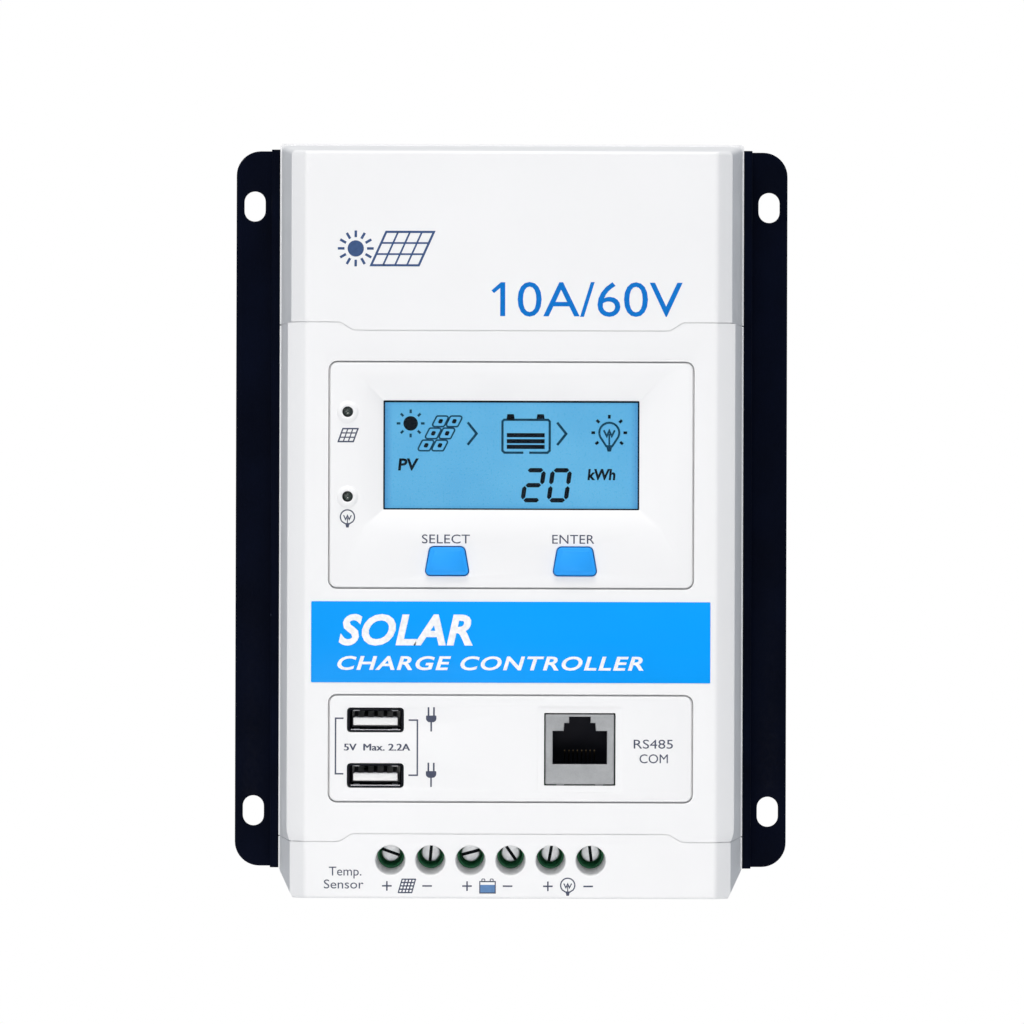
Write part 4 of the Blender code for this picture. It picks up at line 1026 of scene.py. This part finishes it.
def text_mesh(text, bold=0.0, shear=0.0, spacing=1.0):
    """Lettering in Blender's own font as thin closed solids, in the font's own large units."""
    curve = bpy.data.curves.new("lettering", "FONT")
    settings = {"body": text, "size": 10.0, "resolution_u": 4, "offset": bold, "shear": shear,
                "space_character": spacing, "extrude": 0.5}
    for key, value in settings.items():
        setattr(curve, key, value)
    obj = placed("lettering", curve)
    mesh = bpy.data.meshes.new_from_object(obj.evaluated_get(bpy.context.evaluated_depsgraph_get()))
    bpy.data.objects.remove(obj)
    bpy.data.curves.remove(curve)
    bm = taken_from(mesh)
    bmesh.ops.remove_doubles(bm, verts=bm.verts, dist=1e-4)
    return bm


def span(values):
    """The lowest of some values, and how far they reach."""
    values = list(values)
    return min(values), max(values) - min(values)


def capital_height(bold):
    bm = text_mesh("H", bold)
    height = span(vert.co.y for vert in bm.verts)[1]
    bm.free()
    return height


def lettering(name, text, left, right, baseline, capital, body="base", surface=FRONT, material=INK_GREY,
              slot="case_white", bold=0.0, shear=0.0, spacing=1.0, doubled=0.0):
    """Printed letters between two x places, with capitals of a given height above the baseline. Doubled
    letters are printed twice, that far apart, which thickens their upright strokes."""
    copies = []
    for index, shift in enumerate((0.0, doubled) if doubled else (0.0,)):
        bm = text_mesh(text, bold, shear, spacing)
        x_low, length = span(vert.co.x for vert in bm.verts)
        stretch, rise = (right - left - doubled) / length, capital / capital_height(bold)
        top = surface + INK_ABOVE + 0.002 * index
        for vert in bm.verts:
            vert.co = at(left + shift + (vert.co.x - x_low) * stretch,
                         top if vert.co.z > 0 else surface - INK_BELOW, baseline + (vert.co.y + bold) * rise)
        bmesh.ops.recalc_face_normals(bm, faces=bm.faces)
        copies.append(mesh_of(bm))
    piece(name, merged(copies), slot, body, material=material)


def leaning(x, z, width, height, lean, low=(0, 0), high=(1, 1)):
    """A rectangle of a leaning panel, between two (across, up) shares of its size."""
    return [(x + (u - 0.5) * (width - lean) + (v - 0.5) * lean, z + (v - 0.5) * height)
            for u, v in (low, (high[0], low[1]), high, (low[0], high[1]))]


def panel_icon(panel, columns, rows, line, surface):
    """A leaning solar panel: a frame with a grid of cell lines."""
    lines = [stroke(leaning(*panel, (i / columns, 0), (1, 1))[::3], line) for i in range(1, columns)]
    lines += [stroke(leaning(*panel, (0, j / rows))[:2], line) for j in range(1, rows)]
    return merged([hollow_outline(leaning(*panel), line * 1.25, surface), ink(lines, surface)])


def filled_panel_cells(panel, cells, surface):
    """The pale cells of a filled panel icon."""
    edge = 0.085
    pitch = (1 - edge) / cells
    outlines = []
    for column in range(cells):
        for row in range(cells):
            low = edge + column * pitch, edge + row * pitch
            high = low[0] + pitch - edge, low[1] + pitch - edge
            outlines.append(rounded(leaning(*panel, low, high), 0.12, 2))
    return ink(outlines, surface)


def arc(x, z, radius, start, sweep, steps):
    """Points on a circle from a start angle, in degrees."""
    angles = [math.radians(start + sweep * step / steps) for step in range(steps + 1)]
    return [(x + radius * math.cos(angle), z + radius * math.sin(angle)) for angle in angles]


def rays(x, z, near, far, width, angles):
    """Strokes that point away from (x, z) at the angles, in degrees."""
    return [stroke([arc(x, z, reach, angle, 0, 1)[0] for reach in (near, far)], width) for angle in angles]


def bulb_icon(x, z, radius, line, surface, length=1.35):
    """A lamp: its glass is most of a circle, drawn in to a neck above the cap."""
    neck, drop = radius * 0.3, radius * length
    glass = arc(x, z, radius, -42, 264, 18) + [(x - neck, z - drop), (x + neck, z - drop)]
    filament = [(x + radius * u, z + radius * v) for u, v in ((-0.55, 0.25), (-0.25, -0.35), (0, 0.2),
                                                              (0.25, -0.35), (0.55, 0.25))]
    cap = [(x - neck, z - drop), (x + neck, z - drop), (x + neck * 0.6, z - drop - neck * 1.8),
           (x - neck * 0.6, z - drop - neck * 1.8)]
    parts = [stroke(filament, line * 0.9), stroke([(x, z - radius * 0.1), (x, z - drop)], line * 0.8),
             rounded(cap, neck * 0.3, 3)]
    return merged([hollow_outline(glass, line, surface), ink(parts, surface)])


def plus(x, z, size, line):
    half, thin = size / 2, line / 2
    corners = [(-half, -thin), (-thin, -thin), (-thin, -half), (thin, -half), (thin, -thin), (half, -thin)]
    return [(x + u, z + v) for u, v in corners] + [(x - u, z - v) for u, v in corners]


def minus(x, z, size, line):
    return box_outline(x - size / 2, x + size / 2, z - line / 2, z + line / 2)


def print_upper_cover():
    base, top, stem = 46.2, 54.3, (-2.77, -1.57)
    lettering("print_rating", "0A/60V", 1.4, 40.9, base, top - base, material=INK_BLUE)
    # The rating's first digit has its own outline, because the font's is narrower.
    one = [(stem[0], base), (stem[1], base), (stem[1], top), (stem[0] + 0.15, top), (-4.87, 52.35),
           (-4.27, 51.7), (stem[0], 52.95)]
    marks("print_rating_first_digit", ink([one], FRONT), ink_used=INK_BLUE)
    x, z = -37.4, 62.3
    sun = ink([disc(x, z, 1.95, 36), *rays(x, z, 2.7, 4.3, 0.6, range(0, 360, 30))], FRONT)
    panel = panel_icon((-26.2, z, 15.0, 8.0, 3.6), 4, 3, 0.42, FRONT)
    marks("print_sun_and_panel", merged([sun, panel]), ink_used=INK_EMBLEM)


def print_banner():
    style = {"surface": BANNER.front, "material": INK_WHITE, "slot": "label_blue", "shear": 0.22}
    lettering("print_banner_title", "SOLAR", -41.2, -9.1, -32.7, 7.4, bold=0.32, spacing=1.05, **style)
    lettering("print_banner_line", "CHARGE CONTROLLER", -41.5, 31.8, -38.6, 3.3, bold=0.22, spacing=1.12,
              **style)


def print_display_module():
    body = "display_module"
    lettering("print_select", "SELECT", -21.35, -9.85, -8.25, CAPITAL, body, spacing=1.02)
    lettering("print_enter", "ENTER", 9.85, 19.95, -8.25, CAPITAL, body, spacing=1.02)
    marks("print_panel_indicator", panel_icon((-39.1, 17.6, 4.7, 3.1, 1.1), 3, 3, 0.28, FRONT), body)
    marks("print_load_indicator", bulb_icon(-39.2, -2.0, 1.7, 0.3, FRONT, 0.95), body)


def print_interface_module():
    body = "interface_module"
    lettering("print_serial", "RS485", 29.5, 38.9, -57.25, CAPITAL, body)
    lettering("print_port", "COM", 30.9, 37.7, -60.75, CAPITAL, body)
    lettering("print_supply", "5V  Max. 2.2A", -39.9, -24.0, -57.9, 1.6, body, doubled=0.16)
    brackets = [stroke([(inner, high), (outer, high), (outer, low), (inner, low)], 0.35)
                for inner, outer, high, low in ((-40.0, -41.9, -50.2, -63.5), (-24.4, -22.3, -50.6, -63.8))]
    marks("print_supply_brackets", ink(brackets, FRONT), body)
    for place, z in (("upper", -50.4), ("lower", -63.7)):
        marks(f"print_plug_{place}", plug_icon(-19.0, z, FRONT), body)


def plug_icon(x, z, surface):
    """A generic plug: two prongs, a body and its lead."""
    sides = box_outline(x - 1.25, x + 1.25, z - 0.7, z + 0.9)
    body = rounded([sides[3], *sides[:3]], [0.2, 0.9, 0.9, 0.2], 4)
    prongs = [stroke([(x + side, z + 0.8), (x + side, z + 2.9)], 0.4) for side in (-0.65, 0.65)]
    lead = stroke([(x, z - 0.6), (x, z - 2.9)], 0.38)
    return ink([body, *prongs, lead], surface)


def print_terminal_cover():
    lettering("print_temperature", "Temp.", -43.4, -35.6, -87.85, CAPITAL)
    lettering("print_sensor", "Sensor", -44.6, -35.1, -90.95, CAPITAL)
    z, size, line = -90.3, 2.3, 0.36
    signs = [plus(x, z, size, line) for x in (-29.5, -10.3, 9.05)]
    signs += [minus(x, z, size, line) for x in (-19.85, -0.6, 18.7)]
    marks("print_polarity", ink(signs, FRONT))
    panel = (-24.7, z, 4.5, 3.5, 1.0)
    marks("print_panel_terminal", ink([rounded(leaning(*panel), 0.15, 2)], FRONT))
    marks("print_panel_cells", filled_panel_cells(panel, 4, FRONT + INK_ABOVE), ink_used=INK_WHITE)
    x = -5.4
    case = hollow_outline(box_outline(x - 1.85, x + 1.85, z - 1.65, z + 1.1), 0.26, FRONT)
    posts = [hollow_outline(rounded(box_outline(post - 0.35, post + 0.35, z + 1.15, z + 1.7), 0.15, 2),
                            0.2, FRONT) for post in (x - 1.0, x + 1.0)]
    marks("print_battery_terminal", merged([case, *posts]))
    charge = ink([box_outline(x - 1.72, x + 1.72, z - 1.52, z + 0.3)], FRONT)
    marks("print_battery_charge", charge, ink_used=INK_FILL)
    marks("print_load_terminal", bulb_icon(13.8, -90.05, 1.7, 0.3, FRONT, 0.95))


# ---------------------------------------------------------------- what the display shows

def digit(lit, x, z, width, height, thickness):
    """A leaning seven-segment digit with its lower left corner at (x, z), and pointed bars."""
    slant, gap, half = 0.14, thickness * 0.16, height / 2
    ends = {"a": ((0, height), (width, height)), "g": ((0, half), (width, half)), "d": ((0, 0), (width, 0)),
            "f": ((0, half), (0, height)), "b": ((width, half), (width, height)),
            "e": ((0, 0), (0, half)), "c": ((width, 0), (width, half))}
    bars = []
    for name in lit:
        start, end = (Vector(point) for point in ends[name])
        along = (end - start).normalized()
        start, end = start + along * gap, end - along * gap
        tip, across = along * thickness / 2, Vector((-along.y, along.x)) * thickness / 2
        half_bar = [start, start + tip + across, end - tip + across]
        points = half_bar + [start + end - point for point in half_bar]
        bars.append([(x + point.x + slant * point.y, z + point.y) for point in points])
    return bars


def make_display_picture():
    surface = LCD.front + 0.05
    teal, dark = [], []
    x, z = -24.2, 20.5
    dark.append(ink([disc(x, z, 1.75)], surface))
    teal.append(ink(rays(x, z, 2.45, 3.35, 0.55, range(0, 360, 45)), surface))
    for column in range(2):
        for row in range(3):
            x, z = -20.55 + column * 3.3 + row * 1.72, 15.15 + row * 2.9
            cell = [(x - 2.1, z - 1.2), (x + 0.9, z - 1.2), (x + 2.2, z + 1.35), (x - 0.8, z + 1.35)]
            teal.append(hollow_outline(rounded(cell, 0.45, 3), 0.38, surface))
            blob = [(x - 0.65, z - 0.4), (x + 0.35, z - 0.45), (x + 0.85, z + 0.6), (x - 0.15, z + 0.65)]
            dark.append(ink([rounded(blob, 0.3, 3)], surface))
    for x in (-10.5, 11.0):
        teal.append(ink([stroke([(x, 20.8), (x + 2.15, 18.1), (x, 15.4)], 0.6)], surface))
    # A battery, its two posts and the bars of its charge.
    left, right, bottom, top = -2.15, 9.2, 13.55, 21.45
    teal.append(ink([stroke([(4.3, bottom), (right - 0.5, bottom), (right, bottom + 0.5), (right, top - 0.4),
                             (right - 0.4, top), (left + 0.4, top), (left, top - 0.4), (left, bottom + 0.5),
                             (left + 0.5, bottom), (2.9, bottom)], 0.55)], surface))
    dark.append(ink([rounded([(x, 21.4), (x + 2.0, 21.4), (x + 1.8, 22.8), (x + 0.2, 22.8)], 0.2, 2)
                     for x in (-1.2, 6.0)], surface))
    dark.append(ink([box_outline(-1.1, 8.0, z, z + 1.0) for z in (17.25, 15.8, 14.45)], surface))
    x, z = 23.5, 18.4
    teal.append(bulb_icon(x, z, 2.4, 0.5, surface))
    dark.append(ink(rays(x, z, 3.4, 4.3, 0.65, (90, 45, 0, -40, 220, 180, 135)), surface))
    for lit, left in (("abged", 2.75), ("abcdef", 9.0)):
        dark.append(ink(digit(lit, left, 2.15, 4.1, 7.2, 1.05), surface))
    slot, body = "lcd_glass", "display_module"
    piece("display_symbols_outline", merged(teal), slot, body, material=SEGMENT_TEAL)
    piece("display_symbols_solid", merged(dark), slot, body, material=SEGMENT_DARK)
    style = {"body": body, "surface": surface, "material": SEGMENT_DARK, "slot": slot}
    lettering("display_source", "PV", -27.2, -22.2, 9.2, 2.9, bold=0.3, shear=0.1, **style)
    lettering("display_unit", "kWh", 18.3, 25.0, 7.0, 2.7, bold=0.35, shear=0.1, **style)
    x_low, x_high, z_low, z_high = WINDOW
    # Painted shadow: a dark line just inside the window's edge, a little wider along the top, where the bezel
    # shades the display.
    painted_shadow_line = hollow_outline(box_outline(x_low + 0.1, x_high - 0.1, z_low + 0.1, z_high - 0.2), 0.5, surface)
    piece("display_painted_shadow_line", painted_shadow_line, slot, body, material=SEGMENT_DARK)


# ---------------------------------------------------------------- CAD nodes that stay

def finish_carried_nodes():
    kept = {
        "plated_steel": [f"{place}_{side}" for place in ("case_screw_upper", "case_screw_lower",
                                                         "board_screw_top", "board_screw_bottom")
                         for side in ("left", "right")] + [f"clamp_cage_{number}" for number in range(1, 7)],
        "board_green": ["main_board", "display_board", "interface_board"],
        "silicone_pad": ["thermal_pad"],
        "ferrite": ["power_inductor"],
        "capacitor_sleeve": ["capacitor_1", "capacitor_2"],
        "black_plastic": ["power_transistor_1", "power_transistor_2", "display_header", "interface_header",
                          "display_plug", "interface_plug", "select_switch", "enter_switch"],
        "terminal_green": ["temperature_sensor_port"],
        "clear_window": ["lcd_window"],
        "lcd_glass": ["lcd_panel"],
        "white_plastic": ["light_guide"],
        "case_white": ["display_rear_cover"],
    }
    for slot, nodes in kept.items():
        for node in nodes:
            finish_node(node, slot)


# ---------------------------------------------------------------- stage

SKY_TINT = (0.93, 1.0, 1.10, 1.0)
LAMP_TINT = (1.03, 1.0, 0.965)


def softbox(name, place, size, power):
    """A round lamp that faces the origin."""
    lamp = bpy.data.lights.new(name, "AREA")
    lamp.shape = "DISK"
    lamp.size = size
    lamp.energy = power
    lamp.color = LAMP_TINT
    obj = placed(name, lamp)
    obj.location = place
    obj.rotation_euler = (-obj.location).to_track_quat("-Z", "Y").to_euler()


def make_world(ambient, background):
    """A plain studio: an even dim light on the object, and a white ground for the camera."""
    world = bpy.data.worlds.new("studio")
    bpy.context.scene.world = world
    world.use_nodes = True
    tree = world.node_tree
    tree.nodes.clear()
    lighting, seen = (tree.nodes.new("ShaderNodeBackground") for _ in range(2))
    lighting.inputs["Strength"].default_value = ambient
    seen.inputs["Strength"].default_value = background
    path = tree.nodes.new("ShaderNodeLightPath")
    mix = tree.nodes.new("ShaderNodeMixShader")
    output = tree.nodes.new("ShaderNodeOutputWorld")
    lighting.inputs["Color"].default_value = SKY_TINT
    seen.inputs["Color"].default_value = (1.0, 1.0, 1.0, 1.0)
    tree.links.new(path.outputs["Is Camera Ray"], mix.inputs[0])
    tree.links.new(lighting.outputs[0], mix.inputs[1])
    tree.links.new(seen.outputs[0], mix.inputs[2])
    tree.links.new(mix.outputs[0], output.inputs[0])


def make_floor():
    """A pale disc well below the wall unit."""
    height, radius = -0.6, 3.0
    bm = bmesh.new()
    bmesh.ops.create_circle(bm, cap_ends=True, segments=96, radius=radius)
    bmesh.ops.translate(bm, vec=(0, 0, height), verts=bm.verts)
    mesh = mesh_of(bm)
    mesh.materials.append(moulded("pale_floor", (0.85, 0.85, 0.85), 0.7, grain=300.0, variation=0.01))
    floor = placed("floor", mesh)


def make_camera():
    """The photograph's long-lens view: straight on, level, a little under two metres away."""
    distance, field, sensor, roll = 1.93, 0.2509, 36.0, -0.17
    aside, drop = 0.0002, 0.0007
    camera = bpy.data.cameras.new("camera")
    camera.sensor_width = sensor
    camera.lens = sensor * distance / field
    camera.clip_end = 20.0
    obj = placed("camera", camera)
    obj.location = (aside, -(distance + FLANGE_FRONT * MM), -drop)
    obj.rotation_euler = (math.radians(90), math.radians(roll), 0)
    bpy.context.scene.camera = obj


def make_stage():
    make_world(0.36, 1.0)
    make_floor()
    for name, place, size, power in (("key_left", (-0.9, -1.3, 0.25), 0.6, 3.2),
                                     ("key_right", (0.9, -1.3, 0.25), 0.6, 0.2),
                                     ("key_top", (0.0, -1.2, 0.75), 0.5, 1.4),
                                     ("key_above", (0.0, -0.35, 1.15), 0.5, 8.0),
                                     ("key_bottom", (0.0, -0.95, -0.45), 0.4, 3.3)):
        softbox(name, place, size, power)
    bpy.context.scene.view_settings.view_transform = "Standard"
    make_camera()


# ---------------------------------------------------------------- assembly

for build in (make_heat_sink, make_upper_cover, make_fascia, make_banner, make_terminal_cover, make_bezel,
              make_indicators, make_buttons, make_interface_panel, make_usb_sockets, make_network_jack,
              make_terminal_blocks, make_terminal_screws, make_display_picture, print_upper_cover,
              print_banner, print_display_module, print_interface_module, print_terminal_cover,
              finish_carried_nodes, make_stage):
    build()
